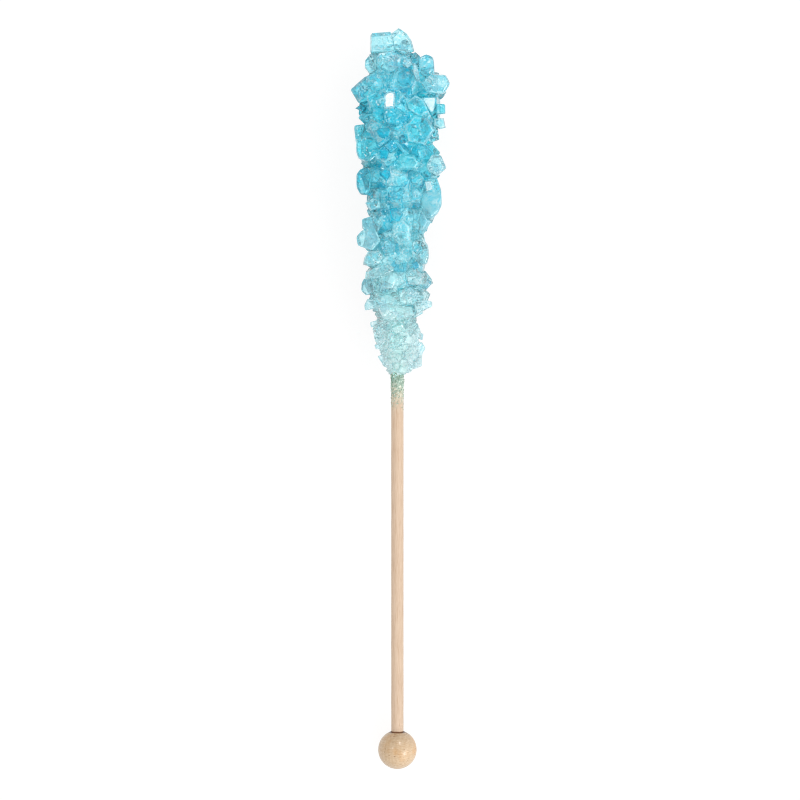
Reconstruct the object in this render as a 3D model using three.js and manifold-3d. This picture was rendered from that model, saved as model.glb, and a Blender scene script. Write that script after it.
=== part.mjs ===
// Rock candy stick, lying on its side: coarse light blue sugar crystals grown in a club on one end of a
// plain wooden stick, with a drilled wooden ball on the other end.
//
// Millimetres, +Z up, the floor at z = 0 and the origin on the floor under the middle of the object.
// Everything is built in the stick's own frame first: the origin is the ball's centre, Y runs along the stick
// towards the candy, X goes across, and Z is the side that faces up. The group "lying" then tips the whole
// thing by about two degrees, so that it rests on the ball and on the undersides of a few crystals.

import * as THREE from "three";
import { mergeVertices } from "three/addons/utils/BufferGeometryUtils.js";
import Module from "manifold-3d";

const wasm = await Module();
wasm.setup();

// ---- driving sizes, in mm ----
const BALL_D = 9.5; // turned wooden ball
const BALL_NECK_R = 1.8; // radius of the small flat turned where the hole is drilled
const HOLE_DEPTH = 6.2; // blind hole for the stick, measured from that flat
const DRILL_POINT = 0.8; // depth of the conical end of the hole
const STICK_D = 3.0; // dowel
const STICK_TOP = 168; // the dowel's hidden end, under the crystals of the tip
const STICK_EDGE = 0.2; // rounded-off edge of both ends
const FIT_GAP = 0.3; // clearance that is left around the dowel in its two sockets
const CANDY_FOOT = 92.9; // where the sugar starts on the dowel
const REST_CUT = 0.12; // how far the resting spots of ball and crystals are flattened
const CLEARANCE = 0.2; // every other crystal stays this far off the floor
const MONOCLINIC = 0.23; // lean of a sugar crystal's faces, tan of 13 degrees
const CORNER_CUTS = 0.25; // share of crystals with a corner cut off
const FILL_SIZE = 1.25; // blocks between the standing-out ones, against the sizes in PROFILE
const RING_SPACING = 1.3; // their spacing around a ring, in sizes
const RING_STEP = 1.15; // the spacing of the rings, in sizes
const LEAVE_OUT = 0.36; // nearer than this share of a standing-out block's mean size, no block is put
const SEED = 5009;

// The club's outline: [distance from the ball's centre, reach to the left, right, up and down, crystal size].
const PROFILE = [
  [93.2, 1.9, 3.0, 2.4, 2.4, 2.4],
  [94.9, 3.7, 6.0, 4.3, 4.3, 2.6],
  [97.9, 4.3, 6.3, 4.9, 5.0, 2.8],
  [100.8, 5.7, 5.8, 5.1, 5.3, 2.9],
  [103.8, 6.2, 5.5, 5.1, 5.3, 3.0],
  [106.7, 4.8, 4.3, 4.7, 5.1, 3.0],
  [108.4, 7.4, 7.0, 6.4, 6.8, 3.4],
  [111.1, 7.5, 7.8, 6.9, 7.3, 3.8],
  [115.0, 8.6, 8.8, 7.1, 7.6, 4.0],
  [118.0, 7.5, 8.1, 7.1, 7.7, 4.1],
  [122.4, 8.7, 7.4, 7.3, 7.9, 4.2],
  [126.3, 9.5, 6.7, 7.5, 8.2, 4.3],
  [131.0, 8.2, 9.6, 8.0, 8.6, 4.5],
  [133.9, 7.4, 10.4, 8.4, 8.8, 4.6],
  [138.3, 9.6, 10.2, 8.7, 9.0, 4.7],
  [142.7, 8.9, 11.4, 9.0, 9.2, 4.8],
  [146.9, 10.1, 10.5, 9.2, 9.4, 4.9],
  [151.8, 10.1, 10.4, 9.3, 9.6, 5.0],
  [156.7, 10.0, 11.4, 9.3, 9.8, 5.0],
  [161.6, 10.6, 12.4, 9.0, 9.8, 5.0],
  [165.5, 7.9, 11.0, 8.1, 8.6, 4.9],
  [168.4, 8.0, 8.8, 7.1, 7.5, 4.7],
  [170.6, 6.8, 4.4, 5.8, 6.2, 4.5],
  [173.6, 6.6, 2.8, 4.5, 4.7, 4.0],
  [175.8, 1.6, 1.4, 1.5, 1.7, 3.0],
];

// Crystals that stand out: [name, along, across, height of the centre above the stick's axis, width, length,
// thickness, turn in degrees]. The rest of the club is filled in from the outline.
const STANDING_OUT = [
  ["cap_left", 170.8, -3.1, 3.0, 6.4, 7.1, 4.9, -1],
  ["cap_right", 172.1, 0.8, 3.0, 5.1, 5.4, 4.9, 42],
  ["cap_side", 167.2, -5.9, 1.5, 4.2, 4.4, 3.9, 20],
  ["cap_front", 166.0, -1.6, 6.0, 5.4, 4.4, 3.9, 10],
  ["shoulder", 166.8, 6.9, 4.6, 4.4, 5.9, 4.4, -12],
  ["clear_bead", 166.3, 10.1, 1.0, 3.0, 3.2, 3.0, 25],
  ["right_knob", 162.6, 10.4, 2.2, 4.9, 4.2, 4.2, 12],
  ["bright_wedge", 158.4, 8.0, 4.8, 3.4, 4.4, 3.4, -27],
  ["edge_a", 156.7, 10.4, 0.8, 2.7, 3.1, 2.9, 4],
  ["edge_b", 153.6, 9.5, 0.8, 3.3, 3.2, 2.9, 8],
  ["left_point", 161.4, -8.2, 1.6, 5.4, 4.2, 4.4, 37],
  ["left_tooth", 157.7, -8.9, 0.5, 2.7, 2.0, 2.2, -20],
  ["left_wedge", 154.6, -6.8, 3.0, 5.4, 3.4, 3.9, -15],
  ["plate_upper", 150.8, -7.6, 2.2, 5.6, 4.7, 4.4, 3],
  ["plate_lower", 146.8, -7.3, 2.0, 5.4, 5.4, 4.4, -3],
  ["bright_square", 159.1, -1.9, 8.0, 3.4, 4.2, 3.4, 0],
  ["front_left", 160.1, -5.0, 6.2, 4.2, 3.9, 3.4, 25],
  ["front_top", 164.3, 2.6, 7.2, 4.2, 3.7, 3.4, -35],
  ["front_mid", 160.4, 2.4, 7.8, 2.9, 4.2, 3.2, 8],
  ["diagonal", 156.1, 5.8, 6.4, 8.1, 3.7, 3.7, -51],
  ["big_pale", 149.6, 5.3, 7.0, 6.6, 6.1, 4.4, -8],
  ["edge_c", 148.1, 9.3, 0.8, 2.6, 2.7, 2.7, 10],
  ["right_corner", 142.8, 9.0, 2.6, 4.4, 5.1, 4.4, 27],
  ["right_plate", 134.9, 7.8, 1.8, 5.1, 9.8, 4.4, -3],
  ["square_deep", 150.6, -3.8, 7.2, 3.6, 3.1, 2.9, -5],
  ["cross_a", 147.4, -1.8, 7.9, 5.1, 2.5, 2.9, 38],
  ["cross_b", 149.1, -0.3, 8.0, 5.9, 2.2, 2.9, -48],
  ["hex_front", 143.0, 2.6, 7.6, 6.6, 4.9, 4.2, -28],
  ["front_low", 140.5, -2.3, 6.9, 3.4, 3.4, 3.2, 30],
  ["front_low_b", 138.1, 0.6, 7.2, 3.9, 3.7, 3.4, -12],
  ["left_block", 139.0, -7.5, 1.8, 4.4, 6.9, 4.4, 3],
  ["front_c", 137.1, -4.3, 5.8, 3.9, 3.7, 3.4, 12],
  ["front_d", 138.5, 5.0, 6.2, 3.9, 3.4, 3.4, 20],
  ["left_turned", 133.2, -5.0, 3.6, 5.6, 4.4, 4.2, 30],
  ["front_e", 133.4, -0.3, 7.4, 4.4, 3.9, 3.7, -20],
  ["front_f", 132.7, 4.1, 6.2, 4.2, 3.7, 3.7, 28],
  ["left_shelf", 129.1, -6.3, 2.4, 4.9, 3.1, 3.4, -8],
  ["left_round", 125.4, -6.5, 2.0, 6.1, 4.6, 4.4, 3],
  ["left_low", 120.4, -5.5, 2.4, 5.6, 4.2, 3.7, -14],
  ["left_slant", 116.5, -4.5, 3.4, 5.9, 3.2, 3.2, 18],
  ["left_box", 113.6, -6.5, 1.2, 3.9, 4.4, 3.4, 8],
  ["left_foot", 109.5, -5.9, 0.8, 3.7, 3.4, 2.9, -5],
  ["deep_front", 130.5, -0.5, 7.0, 3.7, 3.7, 3.2, 15],
  ["front_g", 125.8, 1.9, 6.6, 3.9, 5.4, 3.4, -5],
  ["front_h", 122.6, -2.1, 6.2, 3.7, 3.4, 2.9, 12],
  ["right_slope", 129.5, 5.0, 2.4, 4.4, 4.4, 3.7, -30],
  ["right_ring", 121.7, 5.2, 2.0, 4.4, 5.9, 3.9, -12],
  ["right_tile", 117.2, 6.8, 2.6, 2.3, 3.2, 2.7, -2],
  ["right_chip", 115.6, 8.1, 0.6, 2.3, 3.6, 2.5, -6],
  ["right_nub", 112.1, 7.3, 0.6, 1.8, 2.0, 2.0, 4],
  ["right_pale", 110.0, 6.3, 0.9, 4.2, 3.4, 3.2, -12],
  ["right_under", 107.8, 4.7, 0.8, 2.7, 2.2, 2.5, 30],
  ["front_i", 113.6, 0.1, 5.6, 6.1, 5.6, 3.4, 10],
  ["front_j", 115.3, 3.9, 4.8, 3.9, 3.4, 3.2, -15],
  ["front_k", 111.1, 3.2, 4.8, 4.4, 4.7, 3.2, 20],
  ["front_l", 109.9, -1.8, 5.0, 5.4, 3.9, 2.9, -12],
  ["waist", 106.5, 0.1, 3.2, 6.9, 3.2, 3.2, -6],
  ["low_chip", 104.6, -5.2, 0.6, 3.1, 2.3, 2.0, 8],
  ["low_a", 102.2, -4.1, 1.2, 3.2, 3.1, 2.5, 5],
  ["low_b", 99.3, -4.4, 0.6, 2.7, 1.6, 1.7, -2],
  ["low_c", 96.2, -3.3, 0.9, 2.8, 2.2, 2.0, -32],
  ["low_d", 94.9, -2.4, 0.6, 2.0, 1.5, 1.5, -35],
  ["low_e", 102.6, 4.2, 0.9, 3.4, 3.2, 2.5, -22],
  ["low_f", 102.2, 5.9, 0.4, 1.5, 1.5, 1.2, 20],
  ["low_g", 98.9, 5.1, 0.8, 3.9, 3.7, 2.7, -33],
  ["low_h", 95.9, 4.1, 0.8, 3.9, 3.4, 2.5, -12],
];

// Crystals of the underside that carry the candy on the floor: [along, across].
const FEET = [
  [163.2, -4.6],
  [162.0, 4.8],
  [156.4, 0.4],
  [151.6, -5.0],
  [150.2, 5.2],
  [143.6, -4.2],
  [142.4, 4.4],
];

// ---- resting position ----
const BALL_R = BALL_D / 2;
const REST_ALONG = 156.5; // where the club's underside meets the floor
const REST_REACH = 9.8; // its reach there
const LIE_ANGLE = Math.asin((REST_REACH - BALL_R) / REST_ALONG);
const BALL_HEIGHT = BALL_R - REST_CUT;
const heightOnFloor = (p) => BALL_HEIGHT + p.y * Math.sin(LIE_ANGLE) + p.z * Math.cos(LIE_ANGLE);

// ---- repeatable chance ----
let state = SEED;
const chance = () => {
  state = (state * 16807) % 2147483647;
  return (state - 1) / 2147483646;
};
const between = (a, b) => a + (b - a) * chance();

// ---- outline ----
function outlineAt(s) {
  const last = PROFILE.length - 1;
  if (s <= PROFILE[0][0]) return PROFILE[0].slice(1);
  if (s >= PROFILE[last][0]) return PROFILE[last].slice(1);
  let i = 0;
  while (s > PROFILE[i + 1][0]) i += 1;
  const t = (s - PROFILE[i][0]) / (PROFILE[i + 1][0] - PROFILE[i][0]);
  return PROFILE[i].slice(1).map((v, k) => v + (PROFILE[i + 1][k + 1] - v) * t);
}
function reachAt(s, phi) {
  const [left, right, up, down] = outlineAt(s);
  const rx = Math.cos(phi) > 0 ? right : left;
  const rz = Math.sin(phi) > 0 ? up : down;
  return 1 / Math.hypot(Math.cos(phi) / rx, Math.sin(phi) / rz);
}

// ---- one sugar crystal ----
// A block whose sides lean, with now and then an upright corner cut off.
function crystalShape(width, length, thickness) {
  const lean = MONOCLINIC * between(-1, 1);
  const w = width / 2;
  const h = length / 2;
  const corners = [
    [-w - lean * h, -h],
    [w - lean * h, -h],
    [w + lean * h, h],
    [-w + lean * h, h],
  ].map(([x, y]) => new THREE.Vector2(x, y));
  const cut = chance() < CORNER_CUTS ? Math.floor(chance() * 4) : -1;
  const share = between(0.22, 0.42);
  const ring = [];
  corners.forEach((corner, k) => {
    if (k === cut) {
      ring.push(corner.clone().lerp(corners[(k + 3) % 4], share));
      ring.push(corner.clone().lerp(corners[(k + 1) % 4], share));
    } else ring.push(corner);
  });
  const geometry = new THREE.ExtrudeGeometry(new THREE.Shape(ring), { depth: thickness, bevelEnabled: false });
  geometry.translate(0, 0, -thickness / 2);
  return geometry;
}

const crystals = []; // every crystal, as its geometry in the stick's frame
function place(geometry, turned, centre, foot, inside) {
  geometry.applyMatrix4(turned);
  geometry.translate(centre.x, centre.y, centre.z);
  const p = new THREE.Vector3();
  const corners = geometry.getAttribute("position");
  let low = Infinity;
  let pastLeft = 0;
  let pastRight = 0;
  for (let i = 0; i < corners.count; i += 1) {
    p.fromBufferAttribute(corners, i);
    const [left, right] = outlineAt(p.y);
    low = Math.min(low, heightOnFloor(p));
    pastLeft = Math.max(pastLeft, -p.x - left);
    pastRight = Math.max(pastRight, p.x - right);
  }
  if (inside) geometry.translate(pastLeft - pastRight, 0, 0);
  if (foot) geometry.translate(0, 0, -REST_CUT - low);
  else if (low < CLEARANCE) geometry.translate(0, 0, CLEARANCE - low);
  crystals.push(geometry);
}
const aboutX = (a) => new THREE.Matrix4().makeRotationX(THREE.MathUtils.degToRad(a));
const aboutY = (a) => new THREE.Matrix4().makeRotationY(THREE.MathUtils.degToRad(a));
const aboutZ = (a) => new THREE.Matrix4().makeRotationZ(THREE.MathUtils.degToRad(a));

// Blocks that stand out, seen almost square on from above.
for (const [, s, across, height, width, length, thickness, turn] of STANDING_OUT) {
  const block = crystalShape(width, length, thickness);
  const tipX = between(-13, 13);
  const tipY = between(-13, 13);
  place(block, aboutZ(turn).multiply(aboutX(tipX)).multiply(aboutY(tipY)), new THREE.Vector3(across, s, height), false, false);
}

// Blocks under the club, which carry it.
for (const [s, across] of FEET) {
  const size = 1.15 * outlineAt(s)[4];
  const block = crystalShape(size, 1.1 * size, size);
  const turn = between(0, 90);
  const tipX = between(9, 20);
  const tipY = between(-20, 20);
  place(block, aboutZ(turn).multiply(aboutX(tipX)).multiply(aboutY(tipY)), new THREE.Vector3(across, s, -7), true, true);
}

// The rest of the club, ring by ring: a block is left out where one that stands out already fills its place.
const filled = (centre) =>
  STANDING_OUT.some(
    ([, s, x, z, w, l, t]) => centre.distanceTo(new THREE.Vector3(x, s, z)) < (LEAVE_OUT * (w + l + t)) / 3,
  );
let s0 = PROFILE[0][0] + 1.4;
let ringTurn = 0;
while (s0 < 172.4) {
  const size = outlineAt(s0)[4];
  const count = Math.max(5, Math.round((2 * Math.PI * reachAt(s0, 0.8)) / (RING_SPACING * size)));
  ringTurn += between(0.4, 0.8);
  for (let k = 0; k < count; k += 1) {
    const phi = ((k + ringTurn + between(-0.18, 0.18)) / count) * 2 * Math.PI;
    const s = s0 + between(-0.2, 0.2) * size;
    const shown = Math.sin(phi) > -0.2;
    const big = FILL_SIZE * size * between(0.85, 1.15);
    const reach = reachAt(s, phi) * (shown ? between(0.84, 0.93) : between(0.9, 1.02));
    const block = crystalShape(big * between(0.8, 1.1), big * between(0.9, 1.25), big * between(0.9, 1.15));
    const outward = new THREE.Vector3(Math.cos(phi), between(-0.3, 0.3), Math.sin(phi)).normalize();
    const sideways = new THREE.Vector3(0, 1, 0).cross(outward).normalize();
    const lengthwise = outward.clone().cross(sideways);
    const tipX = between(-28, 28);
    const tipY = between(-28, 28);
    const turn = between(-90, 90);
    const turned = new THREE.Matrix4()
      .makeBasis(sideways, lengthwise, outward)
      .multiply(aboutZ(turn))
      .multiply(aboutX(tipX))
      .multiply(aboutY(tipY));
    const out = Math.max(reach - 0.45 * big, STICK_D / 2 + 0.2 * big);
    const centre = new THREE.Vector3(Math.cos(phi) * out, s, Math.sin(phi) * out);
    if (!filled(centre)) place(block, turned, centre, false, true);
  }
  s0 += RING_STEP * size;
}

// ---- solids ----
function solidOf(geometry) {
  const bare = geometry.clone();
  bare.deleteAttribute("normal");
  bare.deleteAttribute("uv");
  const merged = mergeVertices(bare, 1e-4);
  return new wasm.Manifold(
    new wasm.Mesh({
      numProp: 3,
      vertProperties: new Float32Array(merged.getAttribute("position").array),
      triVerts: new Uint32Array(merged.index.array),
    }),
  );
}
function geometryOf(solid) {
  const mesh = solid.getMesh();
  const positions = new Float32Array(mesh.numVert * 3);
  for (let i = 0; i < mesh.numVert; i += 1)
    positions.set(mesh.vertProperties.subarray(i * mesh.numProp, i * mesh.numProp + 3), i * 3);
  const geometry = new THREE.BufferGeometry();
  geometry.setAttribute("position", new THREE.BufferAttribute(positions, 3));
  geometry.setIndex(new THREE.BufferAttribute(new Uint32Array(mesh.triVerts), 1));
  geometry.computeVertexNormals();
  return geometry;
}
const spin = (profile, segments) =>
  new THREE.LatheGeometry(profile.map(([r, y]) => new THREE.Vector2(r, y)), segments);

// Everything under the floor, as a slab in the stick's frame.
function underFloor() {
  const slab = new THREE.BoxGeometry(60, 300, 20);
  slab.translate(0, 80, -10);
  slab.translate(0, 0, -BALL_HEIGHT);
  slab.applyMatrix4(new THREE.Matrix4().makeRotationX(-LIE_ANGLE));
  return solidOf(slab);
}

// Core of grown-together sugar that all crystals share.
const coreProfile = [[0, CANDY_FOOT]];
for (let s = CANDY_FOOT; s < 173; s += 3.1) {
  const [left, right, up, down, size] = outlineAt(s);
  const reach = Math.min(left, right, up, down);
  coreProfile.push([Math.max(STICK_D / 2 + FIT_GAP + 0.35, reach - 0.62 * size), s]);
}
coreProfile.push([0, 173]);
let candy = solidOf(spin(coreProfile, 20));
for (const geometry of crystals) candy = candy.add(solidOf(geometry));
candy = candy.subtract(
  solidOf(
    spin(
      [
        [0, CANDY_FOOT - 30],
        [STICK_D / 2 + FIT_GAP, CANDY_FOOT - 30],
        [STICK_D / 2 + FIT_GAP, STICK_TOP + FIT_GAP],
        [0, STICK_TOP + FIT_GAP],
      ],
      20,
    ),
  ),
);
candy = candy.subtract(underFloor());
// Closed pockets between crystals are filled: only the outer skin is kept.
candy = candy.decompose().sort((a, b) => b.volume() - a.volume())[0];

// Ball: a sphere with the drilled flat on the stick's side.
const neckHeight = Math.sqrt(BALL_R ** 2 - BALL_NECK_R ** 2);
const holeR = STICK_D / 2 + FIT_GAP / 2;
const ballProfile = [];
const neckAngle = Math.atan2(neckHeight, BALL_NECK_R);
for (let k = 0; k <= 12; k += 1) {
  const a = -Math.PI / 2 + (k / 12) * (neckAngle + Math.PI / 2);
  ballProfile.push([k === 0 ? 0 : BALL_R * Math.cos(a), BALL_R * Math.sin(a)]);
}
ballProfile.push([holeR, neckHeight - 0.05]);
ballProfile.push([holeR, neckHeight - HOLE_DEPTH]);
ballProfile.push([0, neckHeight - HOLE_DEPTH - DRILL_POINT]);
const ball = solidOf(spin(ballProfile, 26)).subtract(underFloor());

// Dowel, with both ends eased.
const stickFoot = neckHeight - HOLE_DEPTH + FIT_GAP;
const stickProfile = [
  [0, stickFoot],
  [STICK_D / 2 - STICK_EDGE, stickFoot],
  [STICK_D / 2, stickFoot + STICK_EDGE],
  [STICK_D / 2, STICK_TOP - STICK_EDGE],
  [STICK_D / 2 - STICK_EDGE, STICK_TOP],
  [0, STICK_TOP],
];

// ---- scene graph ----
const wood = new THREE.MeshStandardMaterial({ color: 0xe4c7a5, roughness: 0.7, metalness: 0 });
const ballWood = new THREE.MeshStandardMaterial({ color: 0xdcc09a, roughness: 0.45, metalness: 0 });
const sugar = new THREE.MeshStandardMaterial({ color: 0x6cc4d8, roughness: 0.2, metalness: 0, transparent: true, opacity: 0.85 });

const lying = new THREE.Group();
function named(name, geometry, material) {
  const mesh = new THREE.Mesh(geometry, material);
  mesh.name = name;
  lying.add(mesh);
  return mesh;
}
named("ball", geometryOf(ball), ballWood);
named("stick", geometryOf(solidOf(spin(stickProfile, 24))), wood);
named("candy", geometryOf(candy), sugar);
lying.rotation.x = LIE_ANGLE;

// The origin goes on the floor under the middle of the object's box.
lying.updateMatrixWorld(true);
const box = new THREE.Box3();
lying.traverse((o) => {
  if (o.isMesh) box.expandByObject(o, true);
});
const middle = box.getCenter(new THREE.Vector3());
const rockCandyStick = new THREE.Group();
rockCandyStick.add(lying);
lying.position.set(-middle.x, -middle.y, BALL_HEIGHT);

export default rockCandyStick;
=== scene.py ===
"""Rock candy stick, lying on its side: light blue sugar crystals on one end of a plain wooden stick, a wooden
ball on the other. Metres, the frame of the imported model. Lengths in the tables below are in millimetres, in the
stick's own frame: the ball's centre is the origin, Y runs along the stick to the candy, Z is the shown side."""

import math

import bmesh
import bpy
from mathutils import Matrix, Vector, noise
from mathutils.bvhtree import BVHTree


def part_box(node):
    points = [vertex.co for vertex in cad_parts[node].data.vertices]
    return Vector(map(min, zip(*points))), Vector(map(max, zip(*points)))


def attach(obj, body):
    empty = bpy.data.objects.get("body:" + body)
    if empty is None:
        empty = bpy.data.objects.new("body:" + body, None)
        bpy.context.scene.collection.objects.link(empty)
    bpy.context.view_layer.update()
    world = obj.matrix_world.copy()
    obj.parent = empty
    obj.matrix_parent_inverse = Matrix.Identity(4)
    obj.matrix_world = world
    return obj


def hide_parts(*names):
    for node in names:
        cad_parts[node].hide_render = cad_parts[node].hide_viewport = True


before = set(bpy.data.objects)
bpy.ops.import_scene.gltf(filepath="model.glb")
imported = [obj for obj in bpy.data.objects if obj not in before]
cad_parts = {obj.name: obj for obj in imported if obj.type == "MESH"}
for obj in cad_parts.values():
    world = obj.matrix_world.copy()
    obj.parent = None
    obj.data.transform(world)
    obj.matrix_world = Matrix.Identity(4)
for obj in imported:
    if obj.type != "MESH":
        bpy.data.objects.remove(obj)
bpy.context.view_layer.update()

# ---------------------------------------------------------------- sizes, mm
BALL_D = 9.5
BALL_NECK_R = 1.8
STICK_D = 3.0
STICK_TOP = 168.0
REST_CUT = 0.12
CLEARANCE = 0.2
MONOCLINIC = 0.23
CORNER_CUTS = 0.25
FILL_SIZE = 1.25
RING_SPACING = 1.3
RING_STEP = 1.15
LEAVE_OUT = 0.36
SEED = 5009
REST_ALONG = 156.5
REST_REACH = 9.8

# the club's outline: distance along, reach to the left, right, up and down, crystal size
PROFILE = [
    (93.2, 1.9, 3.0, 2.4, 2.4, 2.4),
    (94.9, 3.7, 6.0, 4.3, 4.3, 2.6),
    (97.9, 4.3, 6.3, 4.9, 5.0, 2.8),
    (100.8, 5.7, 5.8, 5.1, 5.3, 2.9),
    (103.8, 6.2, 5.5, 5.1, 5.3, 3.0),
    (106.7, 4.8, 4.3, 4.7, 5.1, 3.0),
    (108.4, 7.4, 7.0, 6.4, 6.8, 3.4),
    (111.1, 7.5, 7.8, 6.9, 7.3, 3.8),
    (115.0, 8.6, 8.8, 7.1, 7.6, 4.0),
    (118.0, 7.5, 8.1, 7.1, 7.7, 4.1),
    (122.4, 8.7, 7.4, 7.3, 7.9, 4.2),
    (126.3, 9.5, 6.7, 7.5, 8.2, 4.3),
    (131.0, 8.2, 9.6, 8.0, 8.6, 4.5),
    (133.9, 7.4, 10.4, 8.4, 8.8, 4.6),
    (138.3, 9.6, 10.2, 8.7, 9.0, 4.7),
    (142.7, 8.9, 11.4, 9.0, 9.2, 4.8),
    (146.9, 10.1, 10.5, 9.2, 9.4, 4.9),
    (151.8, 10.1, 10.4, 9.3, 9.6, 5.0),
    (156.7, 10.0, 11.4, 9.3, 9.8, 5.0),
    (161.6, 10.6, 12.4, 9.0, 9.8, 5.0),
    (165.5, 7.9, 11.0, 8.1, 8.6, 4.9),
    (168.4, 8.0, 8.8, 7.1, 7.5, 4.7),
    (170.6, 6.8, 4.4, 5.8, 6.2, 4.5),
    (173.6, 6.6, 2.8, 4.5, 4.7, 4.0),
    (175.8, 1.6, 1.4, 1.5, 1.7, 3.0),
]
# crystals that stand out: name, along, across, height, width, length, thickness, turn
STANDING_OUT = [
    ("cap_left", 170.8, -3.1, 3.0, 6.4, 7.1, 4.9, -1),
    ("cap_right", 172.1, 0.8, 3.0, 5.1, 5.4, 4.9, 42),
    ("cap_side", 167.2, -5.9, 1.5, 4.2, 4.4, 3.9, 20),
    ("cap_front", 166.0, -1.6, 6.0, 5.4, 4.4, 3.9, 10),
    ("shoulder", 166.8, 6.9, 4.6, 4.4, 5.9, 4.4, -12),
    ("clear_bead", 166.3, 10.1, 1.0, 3.0, 3.2, 3.0, 25),
    ("right_knob", 162.6, 10.4, 2.2, 4.9, 4.2, 4.2, 12),
    ("bright_wedge", 158.4, 8.0, 4.8, 3.4, 4.4, 3.4, -27),
    ("edge_a", 156.7, 10.4, 0.8, 2.7, 3.1, 2.9, 4),
    ("edge_b", 153.6, 9.5, 0.8, 3.3, 3.2, 2.9, 8),
    ("left_point", 161.4, -8.2, 1.6, 5.4, 4.2, 4.4, 37),
    ("left_tooth", 157.7, -8.9, 0.5, 2.7, 2.0, 2.2, -20),
    ("left_wedge", 154.6, -6.8, 3.0, 5.4, 3.4, 3.9, -15),
    ("plate_upper", 150.8, -7.6, 2.2, 5.6, 4.7, 4.4, 3),
    ("plate_lower", 146.8, -7.3, 2.0, 5.4, 5.4, 4.4, -3),
    ("bright_square", 159.1, -1.9, 8.0, 3.4, 4.2, 3.4, 0),
    ("front_left", 160.1, -5.0, 6.2, 4.2, 3.9, 3.4, 25),
    ("front_top", 164.3, 2.6, 7.2, 4.2, 3.7, 3.4, -35),
    ("front_mid", 160.4, 2.4, 7.8, 2.9, 4.2, 3.2, 8),
    ("diagonal", 156.1, 5.8, 6.4, 8.1, 3.7, 3.7, -51),
    ("big_pale", 149.6, 5.3, 7.0, 6.6, 6.1, 4.4, -8),
    ("edge_c", 148.1, 9.3, 0.8, 2.6, 2.7, 2.7, 10),
    ("right_corner", 142.8, 9.0, 2.6, 4.4, 5.1, 4.4, 27),
    ("right_plate", 134.9, 7.8, 1.8, 5.1, 9.8, 4.4, -3),
    ("square_deep", 150.6, -3.8, 7.2, 3.6, 3.1, 2.9, -5),
    ("cross_a", 147.4, -1.8, 7.9, 5.1, 2.5, 2.9, 38),
    ("cross_b", 149.1, -0.3, 8.0, 5.9, 2.2, 2.9, -48),
    ("hex_front", 143.0, 2.6, 7.6, 6.6, 4.9, 4.2, -28),
    ("front_low", 140.5, -2.3, 6.9, 3.4, 3.4, 3.2, 30),
    ("front_low_b", 138.1, 0.6, 7.2, 3.9, 3.7, 3.4, -12),
    ("left_block", 139.0, -7.5, 1.8, 4.4, 6.9, 4.4, 3),
    ("front_c", 137.1, -4.3, 5.8, 3.9, 3.7, 3.4, 12),
    ("front_d", 138.5, 5.0, 6.2, 3.9, 3.4, 3.4, 20),
    ("left_turned", 133.2, -5.0, 3.6, 5.6, 4.4, 4.2, 30),
    ("front_e", 133.4, -0.3, 7.4, 4.4, 3.9, 3.7, -20),
    ("front_f", 132.7, 4.1, 6.2, 4.2, 3.7, 3.7, 28),
    ("left_shelf", 129.1, -6.3, 2.4, 4.9, 3.1, 3.4, -8),
    ("left_round", 125.4, -6.5, 2.0, 6.1, 4.6, 4.4, 3),
    ("left_low", 120.4, -5.5, 2.4, 5.6, 4.2, 3.7, -14),
    ("left_slant", 116.5, -4.5, 3.4, 5.9, 3.2, 3.2, 18),
    ("left_box", 113.6, -6.5, 1.2, 3.9, 4.4, 3.4, 8),
    ("left_foot", 109.5, -5.9, 0.8, 3.7, 3.4, 2.9, -5),
    ("deep_front", 130.5, -0.5, 7.0, 3.7, 3.7, 3.2, 15),
    ("front_g", 125.8, 1.9, 6.6, 3.9, 5.4, 3.4, -5),
    ("front_h", 122.6, -2.1, 6.2, 3.7, 3.4, 2.9, 12),
    ("right_slope", 129.5, 5.0, 2.4, 4.4, 4.4, 3.7, -30),
    ("right_ring", 121.7, 5.2, 2.0, 4.4, 5.9, 3.9, -12),
    ("right_tile", 117.2, 6.8, 2.6, 2.3, 3.2, 2.7, -2),
    ("right_chip", 115.6, 8.1, 0.6, 2.3, 3.6, 2.5, -6),
    ("right_nub", 112.1, 7.3, 0.6, 1.8, 2.0, 2.0, 4),
    ("right_pale", 110.0, 6.3, 0.9, 4.2, 3.4, 3.2, -12),
    ("right_under", 107.8, 4.7, 0.8, 2.7, 2.2, 2.5, 30),
    ("front_i", 113.6, 0.1, 5.6, 6.1, 5.6, 3.4, 10),
    ("front_j", 115.3, 3.9, 4.8, 3.9, 3.4, 3.2, -15),
    ("front_k", 111.1, 3.2, 4.8, 4.4, 4.7, 3.2, 20),
    ("front_l", 109.9, -1.8, 5.0, 5.4, 3.9, 2.9, -12),
    ("waist", 106.5, 0.1, 3.2, 6.9, 3.2, 3.2, -6),
    ("low_chip", 104.6, -5.2, 0.6, 3.1, 2.3, 2.0, 8),
    ("low_a", 102.2, -4.1, 1.2, 3.2, 3.1, 2.5, 5),
    ("low_b", 99.3, -4.4, 0.6, 2.7, 1.6, 1.7, -2),
    ("low_c", 96.2, -3.3, 0.9, 2.8, 2.2, 2.0, -32),
    ("low_d", 94.9, -2.4, 0.6, 2.0, 1.5, 1.5, -35),
    ("low_e", 102.6, 4.2, 0.9, 3.4, 3.2, 2.5, -22),
    ("low_f", 102.2, 5.9, 0.4, 1.5, 1.5, 1.2, 20),
    ("low_g", 98.9, 5.1, 0.8, 3.9, 3.7, 2.7, -33),
    ("low_h", 95.9, 4.1, 0.8, 3.9, 3.4, 2.5, -12),
]
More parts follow.
